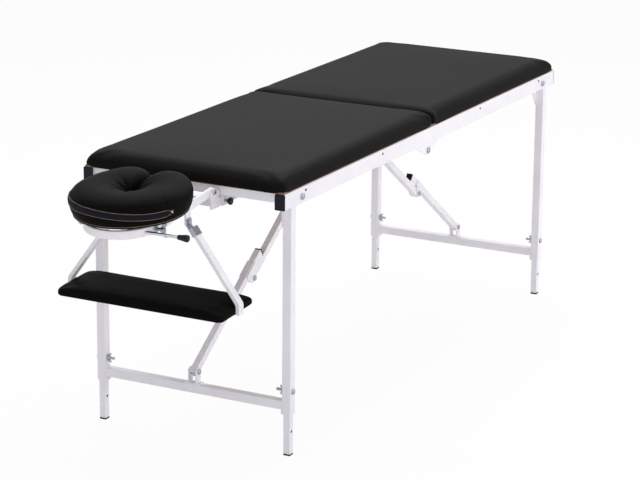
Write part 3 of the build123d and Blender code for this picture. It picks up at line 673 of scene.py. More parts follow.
@dataclass(frozen=True)
class Pad:
    """A pad's place in metres, and its form.

    It starts at one end, and way is the sign of X from there to its second end.
    """

    start: float
    way: int
    length: float
    half_width: float
    base: float
    top: float
    form: PadForm

    def mesh(self) -> Shell:
        """Shapes a divided cube into the pad.

        Returns:
            The closed mesh.
        """
        mesh = bmesh.new()
        bmesh.ops.create_cube(mesh, size=1.0)
        edges = mesh.edges[:]
        bmesh.ops.subdivide_edges(mesh, edges=edges, cuts=self.form.cuts, use_grid_fill=True)
        for vertex in mesh.verts:
            vertex.co = self.shaped(vertex.co)
        return mesh

    def shaped(self, place: Vector) -> Vector:
        """Gives a point of the cube its place on the pad.

        Args:
            place: the point, each coordinate between -0.5 and 0.5.

        Returns:
            The place in metres.
        """
        form = self.form
        along = (1.0 - math.cos(math.pi * (place.x + 0.5))) / 2.0
        across = math.sin(math.pi * place.y)
        level = place.z + 0.5
        near_second = max(0.0, 1.0 - (1.0 - along) * self.length / (form.second_round * MM))
        lip = (form.lip + (form.second_lip - form.lip) * near_second) * MM
        edge = 1.0 - (1.0 - across ** 2) * (1.0 - (2.0 * along - 1.0) ** 4)
        full = self.top - self.base - form.crown * MM * edge
        turn = max(0.0, (level - form.lip_share) / (1.0 - form.lip_share)) * QUARTER_TURN
        drawn = 1.0 - math.cos(turn)
        rise = lip * level / form.lip_share
        if level > form.lip_share:
            rise = lip + (full - lip) * math.sin(turn)
        swell = form.bulge * MM * math.sin(math.pi * level)
        first = drawn * form.start_round * MM
        last = self.length - drawn * form.second_round * MM
        x = first + along * (last - first) - (1.0 - along) * swell
        half = self.half_width - drawn * form.side_round * MM
        y = across * (half + swell)
        x, y = self.cornered(x, y, first, last, half, form.corner * MM * (1.0 + 2.0 * drawn))
        return Vector((self.start + self.way * x, y, self.base + rise))

    def cornered(
        self, x: float, y: float, first: float, last: float, half: float, radius: float,
    ) -> tuple[float, float]:
        """Draws a point near a corner in, onto an arc.

        Args:
            x: the place along the pad.
            y: the place across it.
            first: where the pad starts at this level.
            last: where it ends at this level.
            half: its half width at this level.
            radius: the corner's radius.

        Returns:
            The two new coordinates.
        """
        past_x = radius - min(x - first, last - x)
        past_y = radius - (half - abs(y))
        if past_x <= 0.0 or past_y <= 0.0:
            return x, y
        draw_in = 1.0 - max(past_x, past_y) / math.hypot(past_x, past_y)
        inward = 1.0 if x - first < last - x else -1.0
        return x + inward * past_x * draw_in, y - math.copysign(past_y * draw_in, y)


@dataclass
class TopCushion:
    """One half of the table's padded top, its cover stapled under the board.

    Sizes are in millimetres. The form reaches a little below its cut, which makes it crisp.
    """

    end: End
    form: PadForm = PadForm(
        lip=15.0, second_lip=31.0, start_round=60.0, second_round=26.0, side_round=34.0,
        crown=6.0, corner=14.0, bulge=2.2,
    )
    end_overlap: float = 2.5
    side_overlap: float = 2.4
    wrap_below: float = 4.6
    spare_below: float = 7.0
    stapled: float = 2.0
    seam_inset: float = 0.6
    cell: float = 9.0
    pressure: float = 2.5
    frames: int = 12
    cap: float = 3.0

    def build(self, workshop: Workshop) -> None:
        """Builds the cushion and stuffs it.

        Args:
            workshop: where it gets its finish.
        """
        node = f"cushion_{self.end.value}"
        low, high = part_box(node)
        board_low, board_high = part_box(f"board_{self.end.value}")
        way = self.end.way
        outer, seam = (board_low.x, board_high.x)[::way]
        start = outer - way * self.end_overlap * MM
        pad = Pad(
            start=start,
            way=way,
            length=abs(seam - start) - self.seam_inset * MM,
            half_width=board_high.y + self.side_overlap * MM,
            base=low.z - (self.wrap_below + self.spare_below) * MM,
            top=high.z - self.cap * MM / 2.0,
            form=self.form,
        )
        piece = loose_piece(pad.mesh(), f"top_cushion_{self.end.value}")
        held = pad.base + self.stapled * MM
        inflate(piece, self.cell, self.pressure, self.frames, self.cap, lambda at: at.z < held)
        soften(piece)
        keep_result(piece)
        cut_flat(piece, low.z - self.wrap_below * MM)
        workshop.settle(piece, f"{self.end.value}_frame", "leatherette", [node])


@dataclass(frozen=True)
class Crease:
    """A crease from the ring's hole: direction and width in degrees, depth and reach in mm."""

    direction: float
    width: float
    depth: float
    reach: float


@dataclass(frozen=True)
class Ribbon:
    """A ribbon sewn on the ring, along the zip or along the cover's lower edge.

    It runs from one direction to another, in degrees. The other lengths are in millimetres.
    Its middle is its height over the line that it follows.
    """

    name: str
    first: float
    last: float
    middle: float
    width: float
    lift: float
    thickness: float
    rows: int
    columns: int = 120
    on_zip: bool = True


@dataclass
class FaceRing:
    """The face ring's stuffed cushion, with the zip round its outer edge.

    Lengths are in millimetres and angles in degrees, counted from the table round by the far
    side. Heights are counted from the underside of its board.
    """

    out: float = 249.0
    slope: float = 4.6
    underside: float = 718.6
    wrap: float = 1.6
    glued: float = 2.5
    board: float = 6.0
    half_length: float = 165.5
    half_width: float = 158.0
    equator: float = 44.0
    crest: float = 72.5
    crest_radius: float = 95.0
    base_radius: float = 151.5
    hole_radius: float = 13.0
    hole_waist: float = 33.0
    hole_flare: float = 6.0
    arc_steps: int = 8
    lobe_gap: float = 15.0
    lobe_length: float = 56.0
    lobe_middle: float = 34.0
    lobe_steps: int = 9
    ring_steps: int = 60
    near_swell: float = 0.15
    far_swell: float = 0.09
    cell: float = 4.5
    pressure: float = 3.0
    frames: int = 14
    cap: float = 5.0
    crease_fade: float = 1.5
    crease_from: float = 4.0
    crease_over: float = 12.0
    hem_from: float = 24.0
    hem_height: float = 5.0
    zip_from: float = 106.0
    zip_to: float = 254.0
    zip_height: float = 17.0
    zip_middle: float = 29.0
    zip_rise: float = 13.0
    zip_rise_from: float = 240.0
    zip_rise_over: float = 75.0
    taper: float = 9.0
    taper_to: float = 0.45
    tape_lift: float = 0.7
    tape: float = 1.0
    teeth_width: float = 4.0
    piping: float = 1.1
    piping_height: float = 1.2
    slider_inset: float = 2.5
    slider_round: float = 0.7
    creases: tuple[Crease, ...] = (
        Crease(198.0, 8.0, 8.5, 88.0),
        Crease(222.0, 6.5, 6.5, 70.0),
        Crease(243.0, 6.0, 8.0, 78.0),
        Crease(268.0, 7.5, 7.0, 66.0),
        Crease(292.0, 7.0, 6.0, 74.0),
        Crease(318.0, 7.0, 5.5, 62.0),
        Crease(172.0, 6.5, 5.0, 70.0),
        Crease(146.0, 8.0, 7.0, 80.0),
        Crease(116.0, 7.0, 5.5, 72.0),
        Crease(86.0, 8.0, 6.5, 66.0),
        Crease(56.0, 7.0, 5.5, 72.0),
    )
    # The size and the middle of each block: along the zip, across it and off the cover
    slider_blocks: tuple[Block, ...] = (
        ((8.0, 6.0, 2.0), (0.0, 0.0, 1.4)),
        ((4.5, 2.0, 2.4), (0.5, 0.0, 3.0)),
    )
    pull_blocks: tuple[Block, ...] = (
        ((12.0, 4.4, 1.5), (-6.5, -1.2, 4.0)),
        ((4.0, 5.6, 1.9), (-12.0, -1.2, 4.0)),
    )

    def frame_of_pad(self) -> Matrix:
        """Gives the place and slope of the pad's underside.

        Returns:
            The matrix from the pad's own axes to the table's.
        """
        centre = Vector((HEAD_END - self.out * MM, 0.0, self.underside * MM))
        return Matrix.Translation(centre) @ Matrix.Rotation(-math.radians(self.slope), 4, "Y")

    def around(self, angle: float, radius: float, height: float) -> Vector:
        """Gives a place round the ring.

        Args:
            angle: the direction in radians.
            radius: the distance from the middle in millimetres.
            height: the height in millimetres.

        Returns:
            The place in metres.
        """
        return Vector((radius * math.cos(angle), radius * math.sin(angle), height)) * MM

    def section(self) -> list[tuple[float, ...]]:
        """Works out the section of the ring, as radius and height.

        Returns:
            The corners of the section, in order.
        """
        flank = self.half_length - self.base_radius
        shoulder = self.half_length - self.crest_radius
        below = self.equator - self.wrap
        above = self.crest - self.equator
        funnel = self.crest_radius - self.hole_radius
        drop = self.crest - self.hole_waist
        # The middle of each quarter ellipse, where it starts from there and where it ends
        arcs = (
            ((self.base_radius, self.equator), (0.0, -below), (flank, 0.0)),
            ((self.crest_radius, self.equator), (shoulder, 0.0), (0.0, above)),
            ((self.crest_radius, self.hole_waist), (0.0, drop), (-funnel, 0.0)),
        )
        corners = []
        for middle, first, last in arcs:
            for step in range(self.arc_steps):
                turn = step / self.arc_steps * QUARTER_TURN
                shares = (1.0, math.cos(turn), math.sin(turn))
                places = zip(middle, first, last)
                corners.append(tuple(sum(map(mul, shares, place)) for place in places))
        corners.append((self.hole_radius, self.hole_waist))
        corners.append((self.hole_radius + self.hole_flare, self.wrap))
        return corners

    def swing(self, mesh: Shell, geometry: list, angle: float, steps: int) -> list:
        """Spins the open end of the ring on, about the middle of the ring.

        Args:
            mesh: the ring, which is changed.
            geometry: the open end's vertices and edges.
            angle: the angle in radians.
            steps: the rings of faces.

        Returns:
            The new end's vertices and edges.
        """
        spun = bmesh.ops.spin(
            mesh, geom=geometry, cent=ORIGIN, axis=(0, 0, 1), dvec=ORIGIN, angle=angle,
            steps=steps, use_merge=False,
        )
        return [item for item in spun["geom_last"] if not isinstance(item, bmesh.types.BMFace)]

    def ring_mesh(self) -> Shell:
        """Spins the section into an open ring and closes its two ends as round lobes.

        Returns:
            The closed mesh, in its place.
        """
        mesh = bmesh.new()
        lobe = self.lobe_length / self.crest_radius
        start = self.lobe_gap / 2.0 / self.crest_radius + lobe
        first = draw(mesh, [self.around(start, *corner) for corner in self.section()])
        last = self.swing(mesh, first, FULL_TURN - 2.0 * start, self.ring_steps)
        self.close_lobe(mesh, last, FULL_TURN - start, lobe)
        self.close_lobe(mesh, first, start, -lobe)
        for vertex in mesh.verts:
            towards_table = max(0.0, vertex.co.x / max(vertex.co.xy.length, MM))
            swell = self.near_swell if vertex.co.y < 0.0 else self.far_swell
            vertex.co.z *= 1.0 + swell * towards_table ** 2
        narrower = (1.0, self.half_width / self.half_length, 1.0)
        bmesh.ops.scale(mesh, vec=narrower, verts=mesh.verts[:])
        bmesh.ops.transform(mesh, matrix=self.frame_of_pad(), verts=mesh.verts[:])
        return mesh

    def close_lobe(self, mesh: Shell, geometry: list, angle: float, length: float) -> None:
        """Closes one end of the ring as a round lobe.

        Args:
            mesh: the ring, which is changed.
            geometry: the open end's vertices and edges.
            angle: the end's direction in radians.
            length: the angle that the lobe takes, with its sign.
        """
        before = 0.0
        for step in range(1, self.lobe_steps + 1):
            turn = step / self.lobe_steps * QUARTER_TURN * 0.96
            part = length * (math.sin(turn) - math.sin(before))
            geometry = self.swing(mesh, geometry, part, 1)
            angle += part
            anchor = self.around(angle, self.crest_radius, self.board + self.lobe_middle)
            share = math.cos(turn) / math.cos(before)
            ends = [item for item in geometry if isinstance(item, bmesh.types.BMVert)]
            space = Matrix.Translation(-anchor)
            bmesh.ops.scale(mesh, vec=(share, share, share), verts=ends, space=space)
            before = turn
        rim = [item for item in geometry if isinstance(item, bmesh.types.BMEdge)]
        bmesh.ops.edgeloop_fill(mesh, edges=rim)

    def gather(self, piece: Piece) -> None:
        """Presses the creases into the cover round the hole, above its board.

        Args:
            piece: the ring's cover, which is changed.
        """
        to_pad = self.frame_of_pad().inverted()
        normals = [vertex.normal.copy() for vertex in piece.data.vertices]
        for vertex, normal in zip(piece.data.vertices, normals):
            own = to_pad @ vertex.co / MM
            from_hole = math.hypot(own.x, own.y) - self.hole_radius
            direction = math.degrees(math.atan2(own.y, own.x)) % 360.0
            press = 0.0
            for crease in self.creases:
                off = ((direction - crease.direction + 180.0) % 360.0 - 180.0) / crease.width
                fade = max(0.0, 1.0 - from_hole / (crease.reach - self.hole_radius))
                wave = (1.0 - 0.8 * off * off) * math.exp(-off * off)
                press += crease.depth * wave * fade ** self.crease_fade
            above = (own.z - self.board - self.crease_from) / self.crease_over
            vertex.co -= normal * (press * min(1.0, max(0.0, above)) * MM)

    def on_cover(self, cover: BVHTree, direction: float, height: float) -> tuple[Vector, Vector]:
        """Finds the place on the cover's outer side in one direction and at one height.

        Args:
            cover: the cover's surface.
            direction: the direction in degrees.
            height: the height in millimetres.

        Returns:
            The place, and the surface's normal there.
        """
        pad = self.frame_of_pad()
        outside = pad @ self.around(math.radians(direction), self.half_length * 1.5, height)
        inside = pad @ self.around(math.radians(direction), 0.0, height)
        hit, normal, _, _ = cover.ray_cast(outside, (inside - outside).normalized())
        return hit, normal

    def zip_line(self, direction: float) -> float:
        """Gives the height of the zip's middle line, which rises towards the ring's outer end.

        Args:
            direction: the direction round the ring.

        Returns:
            The height in millimetres.
        """
        share = (self.zip_rise_from - direction) / self.zip_rise_over
        share = min(1.0, max(0.0, share))
        return self.zip_middle + self.zip_rise * share * share * (3.0 - 2.0 * share)

    def sew(self, ribbon: Ribbon, cover: BVHTree) -> Piece:
        """Lays a ribbon on the cover.

        Args:
            ribbon: the ribbon.
            cover: the cover's surface.

        Returns:
            The ribbon with its thickness and its own map along and across it.
        """
        mesh = bmesh.new()
        grid = {"x_segments": ribbon.columns, "y_segments": ribbon.rows}
        bmesh.ops.create_grid(mesh, size=0.5, calc_uvs=True, **grid)
        layer = mesh.loops.layers.uv.verify()
        length = math.radians(ribbon.last - ribbon.first) * self.half_length * MM
        for face in mesh.faces:
            for loop in face.loops:
                place = loop.vert.co
                loop[layer].uv = ((place.x + 0.5) * length, place.y * ribbon.width * MM)
        for vertex in mesh.verts:
            direction = ribbon.first + (vertex.co.x + 0.5) * (ribbon.last - ribbon.first)
            line, narrow = self.hem_height, 1.0
            if ribbon.on_zip:
                from_end = min(direction - self.zip_from, self.zip_to - direction) / self.taper
                narrow = min(1.0, self.taper_to + (1.0 - self.taper_to) * max(0.0, from_end))
                line = self.zip_line(direction)
            height = line + narrow * (ribbon.middle + vertex.co.y * ribbon.width)
            hit, normal = self.on_cover(cover, direction, height)
            vertex.co = hit + normal * (ribbon.lift * MM)
        piece = loose_piece(mesh, ribbon.name)
        wall = piece.modifiers.new("thickness", "SOLIDIFY")
        wall.thickness = ribbon.thickness * MM
        wall.offset = 0.0
        keep_result(piece)
        return piece

    def build(self, workshop: Workshop) -> None:
        """Builds the ring, its zip and its seams.

        Args:
            workshop: where the pieces get their finishes.
        """
        ring = loose_piece(self.ring_mesh(), "face_ring_cushion")
        to_pad = self.frame_of_pad().inverted()
        held = (self.wrap + self.glued) * MM
        inflate(
            ring, self.cell, self.pressure, self.frames, self.cap,
            lambda at: (to_pad @ at).z < held,
        )
        self.gather(ring)
        soften(ring)
        bpy.context.view_layer.update()
        cover = BVHTree.FromObject(ring, bpy.context.evaluated_depsgraph_get())
        # The ring and its board wear the darker copy of the leatherette, as painted shade
        workshop.settle(ring, "face_pad", "leatherette", ["face_cushion"], workshop.shaded_hide)
        workshop.coat(frame["nodes"]["face_board"], workshop.shaded_hide)
        first, last, lift, edge = self.zip_from, self.zip_to, self.tape_lift, self.piping
        half = self.zip_height / 2.0
        thick = self.piping_height
        tape = Ribbon("zip_tape", first, last, 0.0, self.zip_height, lift, self.tape, 8)
        teeth = Ribbon(
            "zip_teeth", first + 1.0, last - 1.0, 0.0, self.teeth_width, lift + 0.8, self.tape, 2,
            columns=300,
        )
        hem = Ribbon(
            "lower_piping", self.hem_from, 360.0 - self.hem_from, 0.0, edge, lift / 2.0, thick, 1,
            columns=240, on_zip=False,
        )
        piping = [
            Ribbon(name, first - 0.5, last + 0.6, middle, edge, lift + 0.6, thick, 2)
            for name, middle in (("zip_piping_low", -half), ("zip_piping_high", half))
        ]
        for ribbon, slot, material in (
            (tape, "leatherette", workshop.tape),
            (teeth, "navy_plastic", workshop.tape),
            *((strip, "leatherette", workshop.thread) for strip in (*piping, hem)),
        ):
            workshop.settle(self.sew(ribbon, cover), "face_pad", slot, material=material)
        slider = self.fitting(cover, self.slider_blocks)
        workshop.place(slider, "zip_slider", "face_pad", "zinc")
        pull = self.fitting(cover, self.pull_blocks)
        workshop.place(pull, "zip_pull", "face_pad", "navy_plastic")

    def fitting(self, cover: BVHTree, blocks: Sequence[Block]) -> Shell:
        """Makes the zip's slider or its pull tab, at the closed end of the zip.

        Args:
            cover: the cushion's surface.
            blocks: the fitting's blocks.

        Returns:
            The closed mesh, in its place.
        """
        mesh = bmesh.new()
        for size, middle in blocks:
            block = bmesh.ops.create_cube(mesh, size=1.0)["verts"]
            bmesh.ops.scale(mesh, vec=Vector(size) * MM, verts=block)
            bmesh.ops.translate(mesh, vec=Vector(middle) * MM, verts=block)
        round_off(mesh, mesh.edges[:], self.slider_round)
        direction = self.zip_to - self.slider_inset
        hit, normal = self.on_cover(cover, direction, self.zip_line(self.zip_to))
        turn = math.radians(direction)
        ahead = Vector((-math.sin(turn), math.cos(turn), 0.0))
        along = (self.frame_of_pad().to_3x3() @ ahead).normalized()
        axes = Matrix((along, normal.cross(along).normalized(), normal)).transposed().to_4x4()
        seat = Matrix.Translation(hit + normal * (self.tape_lift * MM))
        bmesh.ops.transform(mesh, matrix=seat @ axes, verts=mesh.verts[:])
        return mesh


@dataclass
class ArmShelf:
    """The arm shelf's padded board, with its cover drawn round all of it.

    Sizes are in millimetres. The shelf leans a little on its tubes, lower at its outer edge.
    """

    form: PadForm = PadForm(
        lip=11.0, second_lip=11.0, start_round=13.0, second_round=13.0, side_round=9.0,
        crown=4.0, corner=13.0, bulge=1.5,
    )
    below: float = 2.0
    above: float = 3.5
    end_gap: float = 0.4
    deeper: float = 2.5
    held_below: float = 1.5
    held_ends: float = 4.0
    lean: float = 3.4
    cell: float = 5.0
    pressure: float = 2.5
    frames: int = 12
    cap: float = 2.5

    def build(self, workshop: Workshop) -> None:
        """Builds the padded shelf.

        Args:
            workshop: where it gets its finish.
        """
        low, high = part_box("shelf_board")
        _, pad_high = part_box("shelf_pad")
        shape = Pad(
            start=low.x - self.deeper * MM,
            way=1,
            length=high.x - low.x + 2.0 * self.deeper * MM,
            half_width=high.y - self.end_gap * MM,
            base=low.z - self.below * MM,
            top=pad_high.z + self.above * MM,
            form=self.form,
        )
        pad = loose_piece(shape.mesh(), "arm_shelf_pad")
        held = shape.base + self.held_below * MM
        edge = high.y - self.held_ends * MM
        inflate(
            pad, self.cell, self.pressure, self.frames, self.cap,
            lambda at: at.z < held or abs(at.y) > edge,
        )
        middle = Vector(((low.x + high.x) / 2.0, 0.0, low.z))
        lean = Matrix.Rotation(-math.radians(self.lean), 4, "Y")
        pad.data.transform(Matrix.Translation(middle) @ lean @ Matrix.Translation(-middle))
        soften(pad)
        replaced = ["shelf_board", "shelf_pad"]
        # The shelf wears the darker copy of the leatherette, as painted shade
        workshop.settle(pad, "arm_shelf", "leatherette", replaced, workshop.shaded_hide)


@dataclass
class WingNut:
    """A forged wing nut: a tapered hub with two ears that lean outwards.

    It stands where its node does. Its way is the sign of Y from its seat to the ears' tips.
    The hub's outline is in shares of its radius and of the nut's height.
    """

    node: str
    way: int
    ear_share: float = 0.34
    ear_cuts: int = 4
    hub_steps: int = 24
    hub_outline: Outline = (
        (0.55, 0.0), (1.0, 0.0), (1.0, 0.09), (0.93, 0.14), (0.86, 0.558), (0.78, 0.62),
        (0.55, 0.62),
    )

    def ear(self, place: Vector, hub: float, rise: float, reach: float) -> Vector:
        """Gives a point of a cube its place on the upper ear.

        Args:
            place: the point, each coordinate between -0.5 and 0.5.
            hub: the hub's radius.
            rise: the nut's height over its seat.
            reach: how far the ear's tip is from the axis.

        Returns:
            The place about the middle of the seat, with the nut's axis along +Y.
        """
        share = place.z + 0.5
        out = hub * 0.5 + share * (reach - hub * 0.5)
        middle = rise * (0.3 + 0.4 * share ** 1.4)
        past = max(0.0, (share - 0.7) / 0.3)
        half = rise * self.ear_share * (0.82 + 0.3 * share) * math.sqrt(1.0 - 0.75 * past * past)
        thick = hub * (0.62 - 0.22 * share)
        return Vector((place.x * thick, middle + 2.0 * place.y * half * 0.9, out))

    def build(self, workshop: Workshop) -> None:
        """Builds the nut.

        Args:
            workshop: where it gets its finish.
        """
        low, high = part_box(self.node)
        hub = (high.x - low.x) / 2.0
        rise = high.y - low.y
        mesh = bmesh.new()
        bmesh.ops.create_cube(mesh, size=1.0)
        bmesh.ops.subdivide_edges(mesh, edges=mesh.edges[:], cuts=self.ear_cuts, use_grid_fill=True)
        for vertex in mesh.verts:
            vertex.co = self.ear(vertex.co, hub, rise, (high.z - low.z) / 2.0)
        ear = mesh.verts[:] + mesh.edges[:] + mesh.faces[:]
        bmesh.ops.mirror(mesh, geom=ear, axis="Z", merge_dist=-1.0)
        ring = draw(mesh, [(out * hub, up * rise, 0.0) for out, up in self.hub_outline])
        bmesh.ops.spin(
            mesh, geom=ring, cent=ORIGIN, axis=(0, 1, 0), dvec=ORIGIN, angle=FULL_TURN,
            steps=self.hub_steps, use_merge=True,
        )
        if self.way < 0:
            bmesh.ops.scale(mesh, vec=(1.0, -1.0, 1.0), verts=mesh.verts[:])
        seat = (low + high) / 2.0
        seat.y = low.y if self.way > 0 else high.y
        bmesh.ops.translate(mesh, vec=seat, verts=mesh.verts[:])
        name = f"forged_{self.node}"
        soften(workshop.place(mesh, name, body_of(self.node), "zinc", [self.node]))


@dataclass
class TurnedKnob:
    """A round knob turned about the Y axis, given by the outline of its half section.

    The outline is a list of places: the distance from the axis and the distance from the
    inner end, both in millimetres. Its way is the sign of Y from the inner end outwards.
    """

    node: str
    way: int
    outline: Outline
    length: float
    steps: int = 32

    def build(self, workshop: Workshop) -> None:
        """Builds the knob.

        Args:
            workshop: where it gets its finish.
        """
        low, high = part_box(self.node)
        axis = (low + high) / 2.0
        axis.y = (low.y if self.way < 0 else high.y) - self.way * self.length * MM
        mesh = bmesh.new()
        points = [axis + Vector((out, self.way * up, 0.0)) * MM for out, up in self.outline]
        bmesh.ops.spin(
            mesh, geom=draw(mesh, points, closed=False), cent=axis, axis=(0, 1, 0),
            dvec=ORIGIN, angle=FULL_TURN, steps=self.steps, use_merge=True,
        )
        bmesh.ops.remove_doubles(mesh, verts=mesh.verts[:], dist=SAME_PLACE)
        name = f"turned_{self.node}"
        soften(workshop.place(mesh, name, body_of(self.node), "navy_plastic", [self.node]))


@dataclass
class SmallCaps:
    """Small dark caps on steel: plugs in the rails, and painted shade: dark discs sunk in the
    holes near the leg ends for their unlit insides, and dark hexagons on the tilt bolts that
    stand for the shade in their sockets.

    Lengths are in millimetres, and places along the table are counted from the head end.
    """

    places: tuple[tuple[float, End], ...] = (
        (115.0, End.HEAD), (570.0, End.HEAD), (1232.0, End.FOOT), (1685.0, End.FOOT),
    )
    height: float = 727.0
    plug: float = 7.0
    proud: float = 0.7
    # The tilt bolts' dark hexagons are painted shade, standing for their sockets' recesses
    socket: float = 6.4
    # The dark discs in the leg holes are painted shade for the holes' unlit insides
    spare_height: float = 68.0
    hole_shade_diameter: float = 7.9
    spare_sink: float = 0.8
    rim: float = 0.35
    round_sides: int = 20
    socket_sides: int = 6

    def cap(
        self, name: str, centre: Vector, way: int, diameter: float, sides: int, body: str,
        workshop: Workshop,
    ) -> None:
        """Makes one flat cap with a bevelled rim, facing across the table.

        Args:
            name: the piece's name.
            centre: the middle of its seat, in metres.
            way: the sign of Y that it faces.
            diameter: its diameter.
            sides: the corners of its outline.
            body: the body that it rides on.
            workshop: where it gets its finish.
        """
        mesh = bmesh.new()
        radius = diameter / 2.0 * MM
        bmesh.ops.create_cone(
            mesh, cap_ends=True, segments=sides, radius1=radius, radius2=radius,
            depth=2.0 * self.proud * MM,
        )
        top = [edge for edge in mesh.edges if all(vertex.co.z > 0.0 for vertex in edge.verts)]
        round_off(mesh, top, self.rim)
        turn = Matrix.Rotation(math.radians(-90.0 * way), 3, "X")
        bmesh.ops.rotate(mesh, cent=ORIGIN, matrix=turn, verts=mesh.verts[:])
        bmesh.ops.translate(mesh, vec=centre, verts=mesh.verts[:])
        workshop.place(mesh, name, body, "navy_plastic", smooth=False)

    def build(self, workshop: Workshop) -> None:
        """Puts in every cap.

        Args:
            workshop: where they get their finish.
        """
        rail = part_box("side_rails_head")[1].y
        bolt_low, bolt_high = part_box("tilt_bolts")
        for side in Side:
            way = side.way
            for number, (along, end) in enumerate(self.places, start=1):
                centre = Vector((HEAD_END + along * MM, way * rail, self.height * MM))
                name = f"rail_plug_{side.value}_{number}"
                body = f"{end.value}_frame"
                self.cap(name, centre, way, self.plug, self.round_sides, body, workshop)
            # A dark hexagon on each tilt bolt: painted shade standing for its socket
            centre = (bolt_low + bolt_high) / 2.0
            centre.y = way * bolt_high.y
            name = f"tilt_bolt_socket_shade_{side.value}"
            body = body_of("tilt_bolts")
            self.cap(name, centre, way, self.socket, self.socket_sides, body, workshop)
            # Dark discs sunk in the holes near the leg ends: painted shade for the holes' unlit
            # insides
            for end in End:
                node = f"extension_{side.value}_{end.value}"
                low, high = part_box(node)
                for word, face, facing in (("low", low.y, -1), ("high", high.y, 1)):
                    centre = (low + high) / 2.0
                    centre.y = face - facing * self.spare_sink * MM
                    centre.z = self.spare_height * MM
                    name = f"leg_plug_{side.value}_{end.value}_{word}"
                    size = self.hole_shade_diameter
                    self.cap(name, centre, facing, size, self.round_sides, body_of(node), workshop)


@dataclass
class BracePlug:
    """The moulded plug in the open end of a brace's stub, with its full flange.

    Lengths are in millimetres.
    """

    end: End
    flange: float = 2.4
    rim: float = 0.7
    parallel: float = 0.999
    level_within: float = 1e-5

    def build(self, workshop: Workshop) -> None:
        """Thickens the flange of the frame's plug and bevels its rim.

        Args:
            workshop: where it gets its finish.
        """
        node = f"strut_plug_{self.end.value}"
        mesh = bmesh.new()
        mesh.from_mesh(frame["nodes"][node].data)
        bmesh.ops.remove_doubles(mesh, verts=mesh.verts[:], dist=SAME_PLACE / 10.0)
        largest = max(mesh.faces, key=lambda face: face.calc_area())
        outward = largest.normal.copy()
        level = largest.calc_center_median().dot(outward)
        cap = [
            face for face in mesh.faces
            if face.normal.dot(outward) > self.parallel
            and abs(face.calc_center_median().dot(outward) - level) < self.level_within
        ]
        grown = bmesh.ops.extrude_face_region(mesh, geom=cap)["geom"]
        bmesh.ops.delete(mesh, geom=cap, context="FACES")
        raised = [item for item in grown if isinstance(item, bmesh.types.BMVert)]
        bmesh.ops.translate(mesh, vec=outward * (self.flange * MM), verts=raised)
        faces = {item for item in grown if isinstance(item, bmesh.types.BMFace)}
        rim = [edge for edge in mesh.edges if len(faces & set(edge.link_faces)) == 1]
        round_off(mesh, rim, self.rim)
        body = body_of(node)
        workshop.place(mesh, f"flanged_{node}", body, "navy_plastic", [node], smooth=False)


@dataclass
class ThreadedStud:
    """A socket knob's threaded stud, its thread a helix along the Y axis.

    Lengths are in millimetres. The pitch is drawn coarser than real, so that it shows. The
    shares give the ridge's half width of its pitch, its crest of that, and how deep it is sunk.
    """

    side: Side
    diameter: float = 8.0
    in_knob: float = 11.0
    pitch: float = 1.7
    depth: float = 0.75
    half_share: float = 0.42
    crest_share: float = 0.15
    sunk_share: float = 1.15
    sides: int = 24
    steps: int = 16

    def build(self, workshop: Workshop) -> None:
        """Builds the core and winds the thread on it.

        Args:
            workshop: where it gets its finish.
        """
        node = f"socket_knob_{self.side.value}"
        low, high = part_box(node)
        outer, inner = (high.y, low.y)[::self.side.way]
        first, last = sorted((outer - self.side.way * self.in_knob * MM, inner))
        axis = (low + high) / 2.0
        radius = self.diameter / 2.0 * MM
        core_radius = radius - self.depth * MM
        mesh = bmesh.new()
        core = bmesh.ops.create_cone(
            mesh, cap_ends=True, segments=self.sides, radius1=core_radius, radius2=core_radius,
            depth=last - first,
        )["verts"]
        turn = Matrix.Rotation(QUARTER_TURN, 3, "X")
        bmesh.ops.rotate(mesh, cent=ORIGIN, matrix=turn, verts=core)
        axis.y = (first + last) / 2.0
        bmesh.ops.translate(mesh, vec=axis, verts=core)
        pitch = self.pitch * MM
        turns = math.floor((last - first) / pitch) - 1
        half = pitch * self.half_share
        crest = half * self.crest_share
        root = radius - self.depth * MM * self.sunk_share
        axis.y = first + pitch
        corners = [(root, -half), (radius, -crest), (radius, crest), (root, half)]
        ridge = draw(mesh, [axis + Vector((out, along, 0.0)) for out, along in corners])
        ridge.append(mesh.faces.new(ridge[:len(corners)]))
        bmesh.ops.spin(
            mesh, geom=ridge, cent=axis, axis=(0, 1, 0), dvec=(0.0, pitch / self.steps, 0.0),
            angle=FULL_TURN * turns, steps=self.steps * turns, use_merge=False,
        )
        name = f"socket_stud_{self.side.value}"
        workshop.place(mesh, name, body_of(node), "zinc", smooth=False)


